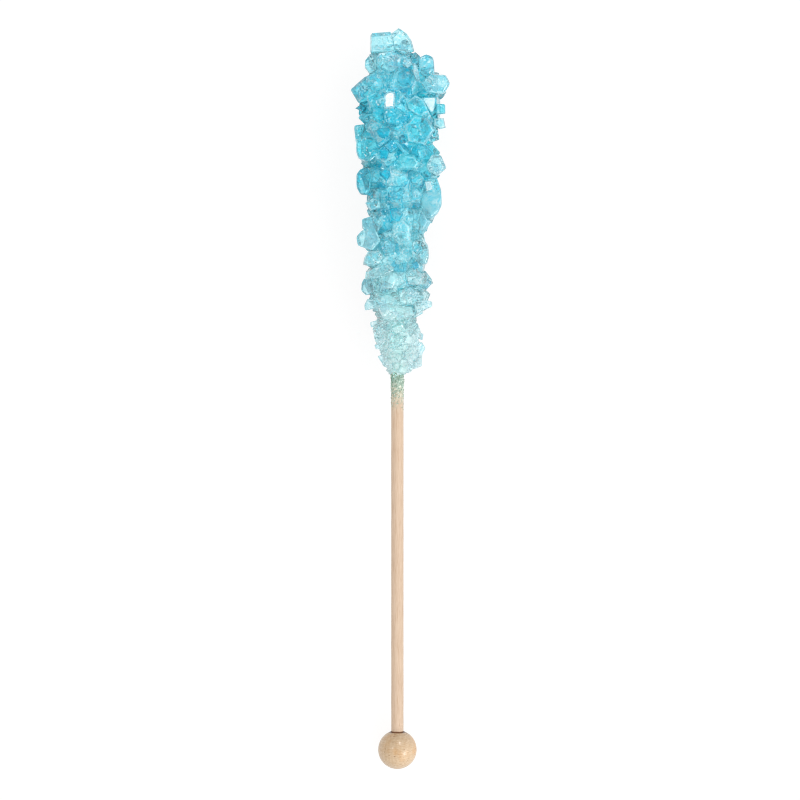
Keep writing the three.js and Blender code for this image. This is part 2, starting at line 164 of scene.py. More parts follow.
# their outlines from above: across, along
OUTLINES = {
    "cap_left": [(-6.6, 169.9), (-0.6, 169.9), (-0.6, 172.1), (-1.6, 175), (-6.6, 174.5)],
    "cap_right": [(-1.6, 174.6), (-1.1, 170.9), (1.4, 169.4), (4, 170.5), (3.4, 172.9), (2.2, 174.5), (0.1, 176)],
    "shoulder": [(4.9, 168.7), (5.5, 164.8), (7, 163.8), (9.1, 165.5), (8.8, 168.9), (7, 169.8)],
    "clear_bead": [(9.3, 167.9), (9.5, 166), (10.9, 165.5), (11.8, 166.5), (11.5, 167.9), (10.1, 168.5)],
    "right_knob": [(5.5, 162.9), (7, 160.4), (11.4, 160.1), (12.9, 162.6), (11.7, 164.8), (8, 164.8)],
    "bright_wedge": [(5.8, 159.2), (7.9, 155.7), (8.6, 155.6), (9.0, 156.7), (9.2, 159.2)],
    "bright_square": [(-3.3, 159.4), (-3.2, 156.1), (-0.6, 156.3), (-0.4, 160.1), (-2, 160.4)],
    "edge_a": [(9.5, 155.5), (11.7, 155.6), (11.7, 157.4), (11.5, 158), (9.5, 158.1)],
    "edge_b": [(8.8, 152.8), (10.4, 151.9), (11.8, 152.3), (11.3, 154.7), (8.8, 154.6)],
    "left_point": [(-11.5, 161.4), (-9.5, 158.1), (-7.1, 158.8), (-4.6, 160.5), (-5, 164), (-7.8, 164.7)],
    "left_tooth": [(-10.3, 157), (-8.1, 156), (-7.4, 157), (-8.9, 158)],
    "left_wedge": [(-9.7, 154.4), (-7.4, 152.3), (-6, 152.1), (-3.9, 153.2), (-3.2, 154.9), (-5.3, 156), (-8.5, 155.6)],
    "plate_upper": [(-10.6, 152.8), (-10.1, 148.3), (-5.4, 149.6), (-5.4, 151.5), (-7.1, 153.1)],
    "plate_lower": [(-10.1, 146.4), (-9.5, 144.6), (-6.7, 143.6), (-5.2, 144.9), (-4.8, 146.9), (-5.2, 149.1), (-7.7, 149.7), (-10.1, 149.1)],
    "square_deep": [(-5.3, 151.1), (-4.4, 149.5), (-2.7, 149.2), (-1.6, 150.7), (-2, 151.8), (-4.6, 151.9)],
    "diagonal": [(1.5, 158.1), (2.1, 156.3), (4.6, 154.5), (7.5, 153.5), (8.3, 154.5), (6.3, 158.8), (4.1, 160.2)],
    "big_pale": [(1.1, 152.5), (2.1, 148.3), (6.5, 147.4), (9, 151.3), (7.3, 154.5), (3.8, 155.2)],
    "edge_c": [(8.5, 149.3), (9, 147.6), (10.2, 147.9), (10.4, 149.1), (9.5, 149.9)],
    "right_corner": [(6.9, 143), (7.3, 141.5), (9.5, 140.1), (12, 142.3), (10.6, 145.5), (8.3, 145.7)],
    "hex_front": [(-0.4, 143.7), (0.4, 141.7), (4.6, 141.6), (5.9, 143.4), (4.1, 145.4), (1.1, 145.7)],
    "front_low": [(-4.4, 140.8), (-2.5, 138.7), (-1.1, 140.3), (-1.6, 141.7), (-3.3, 142)],
    "left_block": [(-10, 140.8), (-9.9, 137.6), (-9, 135.9), (-7.4, 135.7), (-6.5, 137.1), (-6.2, 140.8), (-7, 142.5), (-8.9, 142.3)],
    "right_plate": [(5.5, 132.7), (6.5, 129.7), (8.2, 129.7), (9.9, 131.4), (10.8, 133.4), (10.7, 137.1), (9.7, 140.1), (7, 140), (5.8, 137.1)],
    "left_turned": [(-7.9, 133.9), (-6.5, 131.8), (-4, 132.7), (-4.3, 134.6), (-6, 135.4)],
    "left_shelf": [(-8.7, 130.1), (-8.6, 127.7), (-6.3, 126.2), (-4.3, 127), (-3.5, 129.3), (-5.7, 131)],
    "left_round": [(-9.9, 125.8), (-9.5, 123.6), (-6, 122.4), (-3.8, 124.8), (-4.8, 127.3), (-8.4, 127.5)],
    "left_low": [(-8.4, 118.9), (-5.9, 118.5), (-4.1, 119.1), (-3.5, 121.2), (-4.3, 122.6), (-7.1, 122.4), (-8.1, 120.7)],
    "left_slant": [(-7.3, 117.1), (-7.1, 115.6), (-5.3, 115.4), (-3, 116.3), (-0.6, 117.5), (-1.4, 119.1), (-4.9, 118.7)],
    "left_box": [(-8.8, 112.6), (-7.5, 111.5), (-5.3, 112.6), (-5.9, 115.6), (-8.1, 115.8), (-8.7, 114.6)],
    "left_foot": [(-8.1, 109.3), (-7.9, 107.9), (-4.7, 108.5), (-5.1, 110.6), (-7.3, 110.9)],
    "right_slope": [(3.3, 132.7), (3.6, 127), (6.3, 126.1), (8.2, 129.2), (6, 132.9)],
    "right_ring": [(3.6, 120.9), (5.5, 118.9), (7.3, 119.2), (7.8, 121.2), (7.5, 123.8), (5.9, 125.9), (3.6, 124.8)],
    "right_tile": [(6.5, 116.5), (8.2, 116.7), (8, 118.6), (6.5, 118.5)],
    "right_chip": [(6.3, 114.4), (7.6, 113.9), (9.3, 114.6), (9.3, 117.3), (8, 117.5), (6.8, 116.3)],
    "right_nub": [(6.8, 112.6), (6.9, 110.9), (8.2, 110.9), (8, 113)],
    "right_pale": [(3.9, 110.1), (4.3, 106.7), (8.5, 108.9), (8.6, 110.1), (7.2, 110.5)],
    "low_chip": [(-6.7, 105.2), (-6.5, 103.8), (-4, 104.4), (-4.3, 105.8)],
    "low_a": [(-5.9, 103.6), (-5.7, 100.9), (-2.4, 101.1), (-2.6, 104)],
    "low_b": [(-5.7, 99.7), (-5.3, 98.5), (-3.2, 98.5), (-3.5, 99.9)],
    "low_c": [(-4.9, 96.8), (-3.5, 94.6), (-1.8, 95.8), (-2.6, 97.7)],
    "low_d": [(-3.8, 94.8), (-3.2, 94.2), (-1.6, 93.8), (-1.4, 95.2)],
    "low_e": [(2.3, 100.7), (6, 101.1), (5.5, 103.8), (2.3, 103.6)],
    "low_f": [(5.5, 100.9), (6.1, 100.7), (6.4, 102.2), (5.5, 102.8)],
    "low_g": [(3.1, 97.5), (6.1, 97.3), (7, 98.7), (6.1, 100.3), (3.5, 99.9)],
    "low_h": [(2.5, 94.2), (3.9, 93.6), (6, 94.4), (6, 96.8), (3.1, 96.7)],
    "cap_front": [(-5, 166.5), (-2.3, 165), (0.6, 166), (1.1, 168.9), (-1.3, 170.4), (-4.8, 169.7)],
    "cap_side": [(-7.9, 166.7), (-6.7, 165), (-5, 166), (-5, 168.9), (-6.7, 169.7), (-7.8, 168.4)],
    "front_left": [(-7.7, 162.6), (-6, 160.8), (-3.3, 161.1), (-2.8, 164), (-5, 165.5), (-7.4, 164.5)],
    "front_top": [(-0.1, 162.8), (1.4, 161.6), (3.3, 162.3), (3.6, 164.5), (1.9, 165.7), (0.1, 165)],
    "front_mid": [(2.2, 159.6), (2.8, 158.9), (3.7, 159.6), (3.6, 161.3), (2.4, 161.3)],
    "cross_a": [(-5.2, 147.6), (-4.5, 146.6), (-1.3, 149.1), (-2.1, 149.9)],
    "cross_b": [(-1.6, 149.3), (2, 144.9), (2.8, 145.7), (-0.7, 149.8)],
    "front_low_b": [(-0.8, 140), (0.1, 137.1), (2.4, 137.3), (3.1, 139.3), (1.4, 140.8)],
    "front_c": [(-6.2, 138.8), (-4.8, 138.5), (-4, 140.5), (-4.5, 142.5), (-6.2, 141.7)],
    "front_d": [(2.8, 141), (3.3, 138.3), (5.3, 137.8), (6.5, 139.8), (5, 141.5)],
    "front_e": [(-1.6, 135.1), (0.4, 134.4), (1.9, 136.3), (0.9, 138.3), (-1.6, 137.8)],
    "front_f": [(2.4, 137.1), (3.1, 133.9), (5.5, 133.9), (6.3, 136.1), (4.8, 137.8)],
    "deep_front": [(-2.5, 132.4), (-1.8, 129), (0.6, 129), (1.6, 131.2), (-0.1, 132.9)],
    "front_g": [(-1.6, 125.8), (0.6, 123.4), (3.3, 124.8), (3.6, 128.3), (1.1, 130.5), (-1.1, 129.2)],
    "front_h": [(-4.3, 124.8), (-3.3, 120.9), (-0.8, 121.4), (-0.3, 124.1), (-2.1, 125.8)],
    "front_i": [(-5, 117), (-4.3, 112.1), (-0.3, 112.3), (0.9, 115.8), (-1.3, 118.2)],
    "front_j": [(1.6, 117.7), (2.6, 114), (5.5, 114), (6.5, 116.3), (4.1, 118.5)],
    "front_k": [(0.1, 112.8), (0.6, 109.4), (3.8, 109.1), (5.5, 112.1), (3.3, 114)],
    "front_l": [(-5.7, 111.1), (-3.8, 107.9), (-0.3, 108.7), (0.1, 111.1), (-2.3, 112.3)],
    "waist": [(-4.8, 108.7), (-3.3, 105.7), (0.1, 105.2), (4.1, 106.7), (3.6, 108.9), (-0.3, 109.4)],
}
# small faces inside the outline: name, height, thickness, tone, outline
EXTRA = [
    ("mid_cover", 6.1, 5.8, 0.3, [(-3, 152.7), (0.6, 152.4), (1.7, 155.3), (-0.4, 157.4), (-3.6, 156.7)]),
    ("pale_sliver", 7.8, 3.0, 1.0, [(3.7, 165), (4.7, 162.6), (5.5, 163), (4.8, 166.5), (3.9, 167.5)]),
    ("pale_cluster", 7.0, 3.0, 0.95, [(1.1, 167), (2.4, 166), (3.6, 167), (3.1, 168.4), (1.6, 168.4)]),
    ("deep_a", 8.4, 3.0, -0.1, [(-4.5, 146.2), (-4.1, 144.4), (-2.4, 144.2), (-1.9, 146.1), (-3.1, 147.3)]),
    ("white_patch", 6.6, 3.0, 1.06, [(6.5, 139), (7, 136.6), (8.5, 137.1), (8, 139.3)]),
    ("glint_a", 7.0, 2.0, 1.15, [(-0.6, 122.1), (-0.5, 120.7), (0.5, 120.9), (0.4, 122.1)]),
    ("left_mid", 6.4, 3.4, 0.45, [(-7.7, 159.6), (-6.5, 156.4), (-3.8, 156.9), (-3.3, 159.4), (-5.2, 160.6)]),
    ("small_square", 8.3, 3.0, 0.3, [(-3.3, 147.4), (-1.6, 145.4), (0.4, 147.1), (-1.3, 149.1)]),
    ("ring_deep", 5.4, 3.0, 0.12, [(3.6, 122.4), (4.8, 121.4), (6.3, 122.4), (5.8, 124.1), (4.1, 124.1)]),
    ("low_deep", 6.2, 2.6, -0.05, [(3.3, 119.4), (4.1, 117.7), (5.3, 118.5), (4.8, 119.9)]),
    ("mid_deep", 6.6, 2.6, 0.0, [(1.1, 119.4), (1.4, 117.2), (2.4, 117.5), (2.1, 119.7)]),
    ("pale_c", 7.0, 3.0, 0.6, [(4.6, 146.4), (5.3, 144.2), (7, 145.2), (6.5, 146.9)]),
]
# how pale those crystals are that are clearly paler or deeper than the rest: 0 deep, 1 white; above 1 the faces are
# painted nearly white and opaque, a painted highlight where bright_wedge and bright_square glint
TONES = {
    "cap_left": 0.62, "cap_right": 0.66, "shoulder": 0.25, "clear_bead": 1.0, "right_knob": 0.8, "bright_wedge": 1.12,
    "bright_square": 1.12, "edge_a": 0.5, "edge_b": 0.85, "left_point": 0.45, "left_tooth": 0.0, "left_wedge": 0.45,
    "plate_upper": 0.5, "plate_lower": 0.45, "square_deep": -0.1, "diagonal": 0.5, "big_pale": 0.5, "edge_c": 0.05,
    "right_corner": 0.85, "hex_front": 0.35, "front_low": -0.15, "deep_front": 0.05, "front_mid": -0.1,
    "front_top": 0.05, "cap_front": 0.45, "cap_side": 0.5, "front_left": 0.4, "cross_a": 0.35, "cross_b": 0.5,
    "front_low_b": 0.45, "front_c": 0.4, "front_d": 0.6, "front_e": 0.4, "front_f": 0.6, "right_plate": 0.6,
    "right_ring": 0.6, "right_chip": 0.9, "right_tile": 0.4, "right_nub": 0.25, "right_pale": 0.95, "waist": 0.7,
    "right_under": 0.8, "low_e": 0.7, "low_g": 0.75, "low_h": 0.7, "left_slant": 0.6, "front_g": 0.45,
    "front_h": 0.3, "front_i": 0.4, "front_j": 0.55, "front_k": 0.5, "front_l": 0.45, "left_round": 0.55,
    "left_low": 0.6, "left_box": 0.35, "left_foot": 0.4, "left_shelf": 0.5, "left_turned": 0.5,
}
# crystals with well rounded edges
ROUNDED = {
    "right_knob", "edge_a", "plate_upper", "plate_lower", "left_block", "left_round", "left_low",
    "left_slant", "left_box", "right_plate", "right_ring", "right_chip", "right_corner", "clear_bead", "right_pale",
    "shoulder", "left_shelf", "left_foot",
}
# crystals of the underside that carry the candy: along, across
FEET = [
    (163.2, -4.6),
    (162.0, 4.8),
    (156.4, 0.4),
    (151.6, -5.0),
    (150.2, 5.2),
    (143.6, -4.2),
    (142.4, 4.4),
]


BALL_R = BALL_D / 2
LIE_ANGLE = math.asin((REST_REACH - BALL_R) / REST_ALONG)
BALL_HEIGHT = BALL_R - REST_CUT
stick_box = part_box("stick")
LYING = Vector((  # where the ball's centre is in the frame, mm
    500 * (stick_box[0][0] + stick_box[1][0]),
    1000 * stick_box[1][1] - STICK_TOP * math.cos(LIE_ANGLE) - (STICK_D / 2 - 0.2) * math.sin(LIE_ANGLE),
    BALL_HEIGHT,
))
TO_FRAME = Matrix.Scale(0.001, 4) @ Matrix.Translation(LYING) @ Matrix.Rotation(LIE_ANGLE, 4, "X")


def height_on_floor(p):
    return BALL_HEIGHT + p[1] * math.sin(LIE_ANGLE) + p[2] * math.cos(LIE_ANGLE)


# ---------------------------------------------------------------- repeatable chance
class Chance:
    def __init__(self, seed):
        self.state = seed

    def __call__(self):
        self.state = (self.state * 16807) % 2147483647
        return (self.state - 1) / 2147483646

    def between(self, a, b):
        return a + (b - a) * self()


chance = Chance(SEED)
between = chance.between


# ---------------------------------------------------------------- outline
def outline_at(s):
    if s <= PROFILE[0][0]:
        return PROFILE[0][1:]
    if s >= PROFILE[-1][0]:
        return PROFILE[-1][1:]
    i = 0
    while s > PROFILE[i + 1][0]:
        i += 1
    t = (s - PROFILE[i][0]) / (PROFILE[i + 1][0] - PROFILE[i][0])
    return tuple(v + (w - v) * t for v, w in zip(PROFILE[i][1:], PROFILE[i + 1][1:]))


def reach_at(s, phi):
    left, right, up, down, _ = outline_at(s)
    rx = right if math.cos(phi) > 0 else left
    rz = up if math.sin(phi) > 0 else down
    return 1 / math.hypot(math.cos(phi) / rx, math.sin(phi) / rz)


# ---------------------------------------------------------------- the same crystals as the solid's
def crystal_ring(width, length, lot):
    """A block's outline from above: its sides lean, and now and then a corner is cut off."""
    lean = MONOCLINIC * lot.between(-1, 1)
    w, h = width / 2, length / 2
    corners = [
        Vector((-w - lean * h, -h)),
        Vector((w - lean * h, -h)),
        Vector((w + lean * h, h)),
        Vector((-w + lean * h, h)),
    ]
    cut = math.floor(lot() * 4) if lot() < CORNER_CUTS else -1
    share = lot.between(0.22, 0.42)
    ring = []
    for k, corner in enumerate(corners):
        if k == cut:
            ring.append(corner.lerp(corners[(k + 3) % 4], share))
            ring.append(corner.lerp(corners[(k + 1) % 4], share))
        else:
            ring.append(corner)
    return ring


def about(axis, degrees):
    return Matrix.Rotation(math.radians(degrees), 4, axis)


def placed(name, ring, thickness, turned, centre, foot, inside):
    """A crystal as its outline, thickness and place, moved as the solid's is to keep the outline and the floor."""
    centre = centre.copy()
    corners = [
        turned @ Vector((p.x, p.y, z)) + centre for p in ring for z in (-thickness / 2, thickness / 2)
    ]
    low = min(height_on_floor(p) for p in corners)
    past_left = max([0] + [-p.x - outline_at(p.y)[0] for p in corners])
    past_right = max([0] + [p.x - outline_at(p.y)[1] for p in corners])
    if inside:
        centre.x += past_left - past_right
    if foot:
        centre.z += -REST_CUT - low
    elif low < CLEARANCE:
        centre.z += CLEARANCE - low
    return {"name": name, "ring": ring, "t": thickness, "turn": turned, "at": centre, "foot": foot}


def facing(outward):
    sideways = Vector((0, 1, 0)).cross(outward).normalized()
    lengthwise = outward.cross(sideways)
    return Matrix((sideways, lengthwise, outward)).transposed().to_4x4()


crystals = []
for name, s, across, height, width, length, thickness, turn in STANDING_OUT:
    ring = crystal_ring(width, length, chance)
    tip_x = between(-13, 13)
    tip_y = between(-13, 13)
    turned = about("Z", turn) @ about("X", tip_x) @ about("Y", tip_y)
    crystals.append(placed(name, ring, thickness, turned, Vector((across, s, height)), False, False))
for s, across in FEET:
    size = 1.15 * outline_at(s)[4]
    ring = crystal_ring(size, 1.1 * size, chance)
    turn = between(0, 90)
    tip_x = between(9, 20)
    tip_y = between(-20, 20)
    turned = about("Z", turn) @ about("X", tip_x) @ about("Y", tip_y)
    crystals.append(placed("foot", ring, size, turned, Vector((across, s, -7)), True, True))


def filled(centre):
    return any(
        (centre - Vector((x, s, z))).length < LEAVE_OUT * (w + l + t) / 3
        for _, s, x, z, w, l, t, _ in STANDING_OUT
    )


s0 = PROFILE[0][0] + 1.4
ring_turn = 0.0
while s0 < 172.4:
    size = outline_at(s0)[4]
    count = max(5, math.floor((2 * math.pi * reach_at(s0, 0.8)) / (RING_SPACING * size) + 0.5))
    ring_turn += between(0.4, 0.8)
    for k in range(count):
        phi = (k + ring_turn + between(-0.18, 0.18)) / count * 2 * math.pi
        s = s0 + between(-0.2, 0.2) * size
        shown = math.sin(phi) > -0.2
        big = FILL_SIZE * size * between(0.85, 1.15)
        reach = reach_at(s, phi) * (between(0.84, 0.93) if shown else between(0.9, 1.02))
        width = big * between(0.8, 1.1)
        length = big * between(0.9, 1.25)
        thickness = big * between(0.9, 1.15)
        ring = crystal_ring(width, length, chance)
        outward = Vector((math.cos(phi), between(-0.3, 0.3), math.sin(phi))).normalized()
        tip_x = between(-28, 28)
        tip_y = between(-28, 28)
        turn = between(-90, 90)
        turned = facing(outward) @ about("Z", turn) @ about("X", tip_x) @ about("Y", tip_y)
        out = max(reach - 0.45 * big, STICK_D / 2 + 0.2 * big)
        centre = Vector((math.cos(phi) * out, s, math.sin(phi) * out))
        if not filled(centre):
            crystals.append(placed("fill", ring, thickness, turned, centre, False, True))
    s0 += RING_STEP * size


# ---------------------------------------------------------------- meshes
def new_object(name, mesh):
    thing = bpy.data.objects.new(name, mesh)
    bpy.context.scene.collection.objects.link(thing)
    return thing


def cut_by(bm, point, normal):
    """Cuts a convex block off beyond a plane and closes it."""
    made = bmesh.ops.bisect_plane(
        bm, geom=bm.verts[:] + bm.edges[:] + bm.faces[:], plane_co=point, plane_no=normal, clear_outer=True
    )
    rim = [e for e in made["geom_cut"] if isinstance(e, bmesh.types.BMEdge)]
    if len(rim) > 2:
        bmesh.ops.contextual_create(bm, geom=rim)


def block(ring, thickness, lot, cuts, soften, tone=0.5, spread=0.0, line=0.5, steps=2, frost=1.0, taper=None):
    """A crystal round its own centre: the leaning block, some corners and edges cut off by slanting faces, and all
    edges eased. Each face has its own tone, from 0, deep, to 1, pale; the eased edges have the tone line and a
    frosting strength, which paints them paler: partly real frosting, partly a painted highlight along the edges."""
    bm = bmesh.new()
    tones = bm.faces.layers.float.new("tone")
    frosted = bm.faces.layers.float.new("frost")
    n = len(ring)
    if sum(ring[k - 1].x * ring[k].y - ring[k].x * ring[k - 1].y for k in range(n)) < 0:
        ring = ring[::-1]
    levels = []
    for z, share in ((-0.5, taper[0]), (taper[2], 1.0), (0.5, taper[1])) if taper else ((-0.5, 1.0), (0.5, 1.0)):
        levels.append([bm.verts.new((p.x * share, p.y * share, z * thickness)) for p in ring])
    bm.faces.new(levels[0][::-1])
    bm.faces.new(levels[-1])
    for low, high in zip(levels, levels[1:]):
        for k in range(n):
            bm.faces.new((low[k], low[(k + 1) % n], high[(k + 1) % n], high[k]))
    small = min([thickness] + [(ring[k] - ring[k - 1]).length for k in range(n) if n == 4])
    for _ in range(cuts):
        k = math.floor(lot() * n)
        up = 1 if lot() < 0.7 else -1
        corner = Vector((ring[k].x, ring[k].y, up * thickness / 2))
        normal = Vector((corner.x, corner.y, 0)).normalized() * lot.between(0.4, 1.1)
        normal = (normal + Vector((lot.between(-0.3, 0.3), lot.between(-0.3, 0.3), up * lot.between(0.2, 1.0)))).normalized()
        cut_by(bm, corner - normal * small * lot.between(0.06, 0.2), normal)
    bmesh.ops.dissolve_degenerate(bm, dist=0.01, edges=bm.edges[:])
    sides = []
    for face in bm.faces:
        face[tones] = tone + spread * lot.between(-1, 1)
        face.normal_update()
        sides.append(face.normal.copy())
    eased = bmesh.ops.bevel(
        bm, geom=bm.edges[:], offset=soften, segments=steps, profile=0.6, affect="EDGES", clamp_overlap=True
    )
    for face in eased["faces"]:
        face[tones] = line
        face.normal_update()
        turn = min(face.normal.angle(side, 0.0) for side in sides)
        face[frosted] = frost * min(1.0, turn / 0.5)
    return bm


def as_mesh(name, bm, matrix):
    bmesh.ops.transform(bm, matrix=matrix, verts=bm.verts)
    mesh = bpy.data.meshes.new(name)
    bm.to_mesh(mesh)
    bm.free()
    return mesh


def joined(meshes, name):
    """One closed skin round many overlapping closed meshes."""
    first = new_object(name, meshes[0])
    others = bpy.data.collections.new(name + "_parts")
    things = []
    for k, mesh in enumerate(meshes[1:]):
        thing = bpy.data.objects.new(f"{name}_{k}", mesh)
        others.objects.link(thing)
        things.append(thing)
    bpy.context.scene.collection.children.link(others)
    join = first.modifiers.new("join", "BOOLEAN")
    join.operation = "UNION"
    join.operand_type = "COLLECTION"
    join.collection = others
    join.solver = "MANIFOLD"
    graph = bpy.context.evaluated_depsgraph_get()
    mesh = bpy.data.meshes.new_from_object(first.evaluated_get(graph))
    first.modifiers.clear()
    first.data = mesh
    for thing in things:
        bpy.data.objects.remove(thing)
    bpy.data.collections.remove(others)
    for old in meshes:
        bpy.data.meshes.remove(old)
    return first


def tidy(thing):
    """Keeps the largest connected shell, by vertex count, and drops the others as slivers."""
    bm = bmesh.new()
    bm.from_mesh(thing.data)
    bm.verts.ensure_lookup_table()
    seen = set()
    shells = []
    for start in bm.verts:
        if start.index in seen:
            continue
        seen.add(start.index)
        stack, shell = [start], []
        while stack:
            v = stack.pop()
            shell.append(v)
            for e in v.link_edges:
                o = e.other_vert(v)
                if o.index not in seen:
                    seen.add(o.index)
                    stack.append(o)
        shells.append(shell)
    shells.sort(key=len, reverse=True)
    drop = [v for shell in shells[1:] for v in shell]
    bmesh.ops.delete(bm, geom=drop, context="VERTS")
    bm.to_mesh(thing.data)
    count = sum(1 for e in bm.edges if not e.is_manifold)
    print(thing.name, "faces", len(bm.faces), "dropped shells", len(shells) - 1, "open edges", count,
          "volume mm3", round(bm.calc_volume() * 1e9, 1))
    bm.free()


# ---------------------------------------------------------------- candy
looks = Chance(7411)  # a chance of its own, so the crystals' places stay those of the solid
parts = []


def tapered():
    """How a crystal narrows to its back and its front, and where it is widest."""
    return (looks.between(0.7, 0.95), looks.between(0.55, 0.92), looks.between(-0.2, 0.3))


for n, c in enumerate(crystals):
    named = c["name"] in OUTLINES
    if named:
        corners = [Vector(q) for q in OUTLINES[c["name"]]]
        middle_at = sum(corners, Vector((0, 0))) / len(corners)
        ring = [q - middle_at for q in corners]
        at = Vector((middle_at.x, middle_at.y, c["at"].z))
        turn = about("X", looks.between(-7, 7)) @ about("Y", looks.between(-7, 7))
        if c["name"] == "right_knob":
            at.z, c["t"] = 6.0, 5.0
        elif at.y > 107:
            at.z += 0.3 if at.z > 4 else 2.4 if at.y < 136 else 1.6
    else:
        ring, at, turn = c["ring"], c["at"], c["turn"]
    share = 1.0
    if c["name"] == "fill" and at.y < 104:  # at the foot the crystals are small
        share = 0.7
    elif c["name"] == "fill" and at.z > 1:  # and the prominent ones stand out in front of them
        share = 0.75
    ring = [q * share for q in ring]
    c["t"] *= share
    span = [(ring[k] - ring[k - 1]).length for k in range(len(ring))]
    small = min(c["t"], sorted(span)[-2])
    place = TO_FRAME @ Matrix.Translation(at) @ turn
    tone = TONES.get(c["name"], looks.between(0.2, 0.75) if at.y > 112 else looks.between(0.45, 0.95))
    rounded = c["name"] in ROUNDED
    soften = min(0.75, small * looks.between(0.16, 0.22)) if rounded else min(0.4, small * looks.between(0.08, 0.14))
    line = looks.between(-0.4, -0.1) if looks() < 0.45 else looks.between(0.0, 0.35)
    line = min(1.0, tone + (0.4 * line if rounded else line))
    frost = looks.between(0.05, 0.2) if rounded else looks.between(0.1, 0.9)
    taper = tapered() if named or looks() < 0.6 else None
    cuts = math.floor(looks() * 3)
    if rounded:
        cuts = 0
        taper = (0.85, looks.between(0.84, 0.94), looks.between(0.0, 0.2))
    if c["name"].startswith("cap"):
        taper = (0.9, 0.93, 0.1)
    elif tone > 1:
        taper = (0.85, 0.96, 0.2)
        place = TO_FRAME @ Matrix.Translation(at + Vector((0, 0, 0.6)))
    spread = 0.05 if not 0.1 < tone < 1 else 0.12 if rounded else 0.2
    bm = block(ring, c["t"], looks, cuts, soften, tone, spread, line, 4 if rounded else 3, frost, taper)
    parts.append(as_mesh(f"crystal_{n}", bm, place))
    # growth steps: thin raised plates on the faces
    if not c["foot"] and not named and small > 2.2 and looks() < 0.4:
        fx, fy = looks.between(0.5, 0.85), looks.between(0.5, 0.85)
        sx, sy = looks.between(-1, 1) * (1 - fx) / 2, looks.between(-1, 1) * (1 - fy) / 2
        w = max(p.x for p in ring) - min(p.x for p in ring)
        h = max(p.y for p in ring) - min(p.y for p in ring)
        ring = [Vector((p.x * fx + sx * w, p.y * fy + sy * h)) for p in ring]
        rise = looks.between(0.05, 0.14)
        bm = block(ring, c["t"] + 2 * rise, looks, 0, min(0.06, rise * 0.6), tone + looks.between(-0.1, 0.15), 0.1, line, 2, 0.3)
        parts.append(as_mesh(f"step_{n}", bm, place))

for name, height, thickness, tone, corners in EXTRA:
    corners = [Vector(q) for q in corners]
    middle_at = sum(corners, Vector((0, 0))) / len(corners)
    turn = about("X", looks.between(-6, 6)) @ about("Y", looks.between(-6, 6))
    bm = block([q - middle_at for q in corners], thickness, looks, 0, 0.25, tone, 0.04, tone, 3, 0.2, (0.9, 0.85, 0.2))
    parts.append(as_mesh(name, bm, TO_FRAME @ Matrix.Translation((middle_at.x, middle_at.y, height)) @ turn))

# small crystals in the gaps between the large ones
s0 = PROFILE[0][0] + 0.3
while s0 < 174.5:
    size = outline_at(s0)[4]
    small = 0.42 * size
    count = max(6, math.floor(2 * math.pi * reach_at(s0, 0.8) / (2.1 * small)))
    for k in range(count):
        phi = (k + looks.between(-0.45, 0.45)) / count * 2 * math.pi
        s = s0 + looks.between(-0.6, 0.6) * small
        big = small * looks.between(0.5, 1.3)
        reach = reach_at(s, phi) * looks.between(0.72, 0.95 if math.sin(phi) < 0.1 else 0.86)
        ring = crystal_ring(big * looks.between(0.8, 1.1), big * looks.between(0.9, 1.5), looks)
        thickness = big * looks.between(0.8, 1.2)
        outward = Vector((math.cos(phi), looks.between(-0.4, 0.4), math.sin(phi))).normalized()
        turned = facing(outward) @ about("Z", looks.between(-90, 90)) @ about("X", looks.between(-35, 35)) @ about("Y", looks.between(-35, 35))
        out = max(reach - 0.4 * big, STICK_D / 2 + 0.2 * big)
        c = placed("chip", ring, thickness, turned, Vector((math.cos(phi) * out, s, math.sin(phi) * out)), False, True)
        tone = looks.between(0.1, 0.7) if s > 112 else looks.between(0.5, 0.75)
        bm = block(
            c["ring"], c["t"], looks, math.floor(looks() * 2), 0.1 * big, tone, 0.2, looks.between(0.1, 1.0), 2,
            looks.between(0.1, 0.8), tapered(),
        )
        if s > 95.4:
            parts.append(as_mesh("chip", bm, TO_FRAME @ Matrix.Translation(c["at"]) @ c["turn"]))
        else:
            bm.free()
    s0 += 1.6 * small

# a ragged frosted foot: many small pale crystals
s0 = 93.3
while s0 < 104.5:
    reach = max(2.0, reach_at(s0, 0.8)) if s0 > 93 else 2.0
    small = 0.75 + 0.09 * max(0, s0 - 92)
    count = math.floor(2 * math.pi * reach / (1.0 * small))
    for k in range(count):
        phi = (k + looks.between(-0.5, 0.5)) / count * 2 * math.pi
        s = s0 + looks.between(-0.5, 0.5) * small
        big = small * looks.between(0.7, 1.3)
        ring = crystal_ring(big, big * looks.between(0.9, 1.4), looks)
        outward = Vector((math.cos(phi), looks.between(-0.5, 0.5), math.sin(phi))).normalized()
        turned = facing(outward) @ about("Z", looks.between(-90, 90)) @ about("X", looks.between(-40, 40)) @ about("Y", looks.between(-40, 40))
        side = reach_at(s, phi) if s > 93.2 else STICK_D / 2 + 0.3 * big
        out = max(side * looks.between(0.8, 1.0) - 0.4 * big, STICK_D / 2 + 0.15 * big)
        c = placed("speck", ring, big, turned, Vector((math.cos(phi) * out, s, math.sin(phi) * out)), False, s > 94)
        bm = block(c["ring"], c["t"], looks, 0, 0.1 * big, looks.between(0.55, 0.9), 0.1, looks.between(0.5, 1.0), 2, looks.between(0.2, 0.6))
        parts.append(as_mesh("speck", bm, TO_FRAME @ Matrix.Translation(c["at"]) @ c["turn"]))
    s0 += 0.8 * small


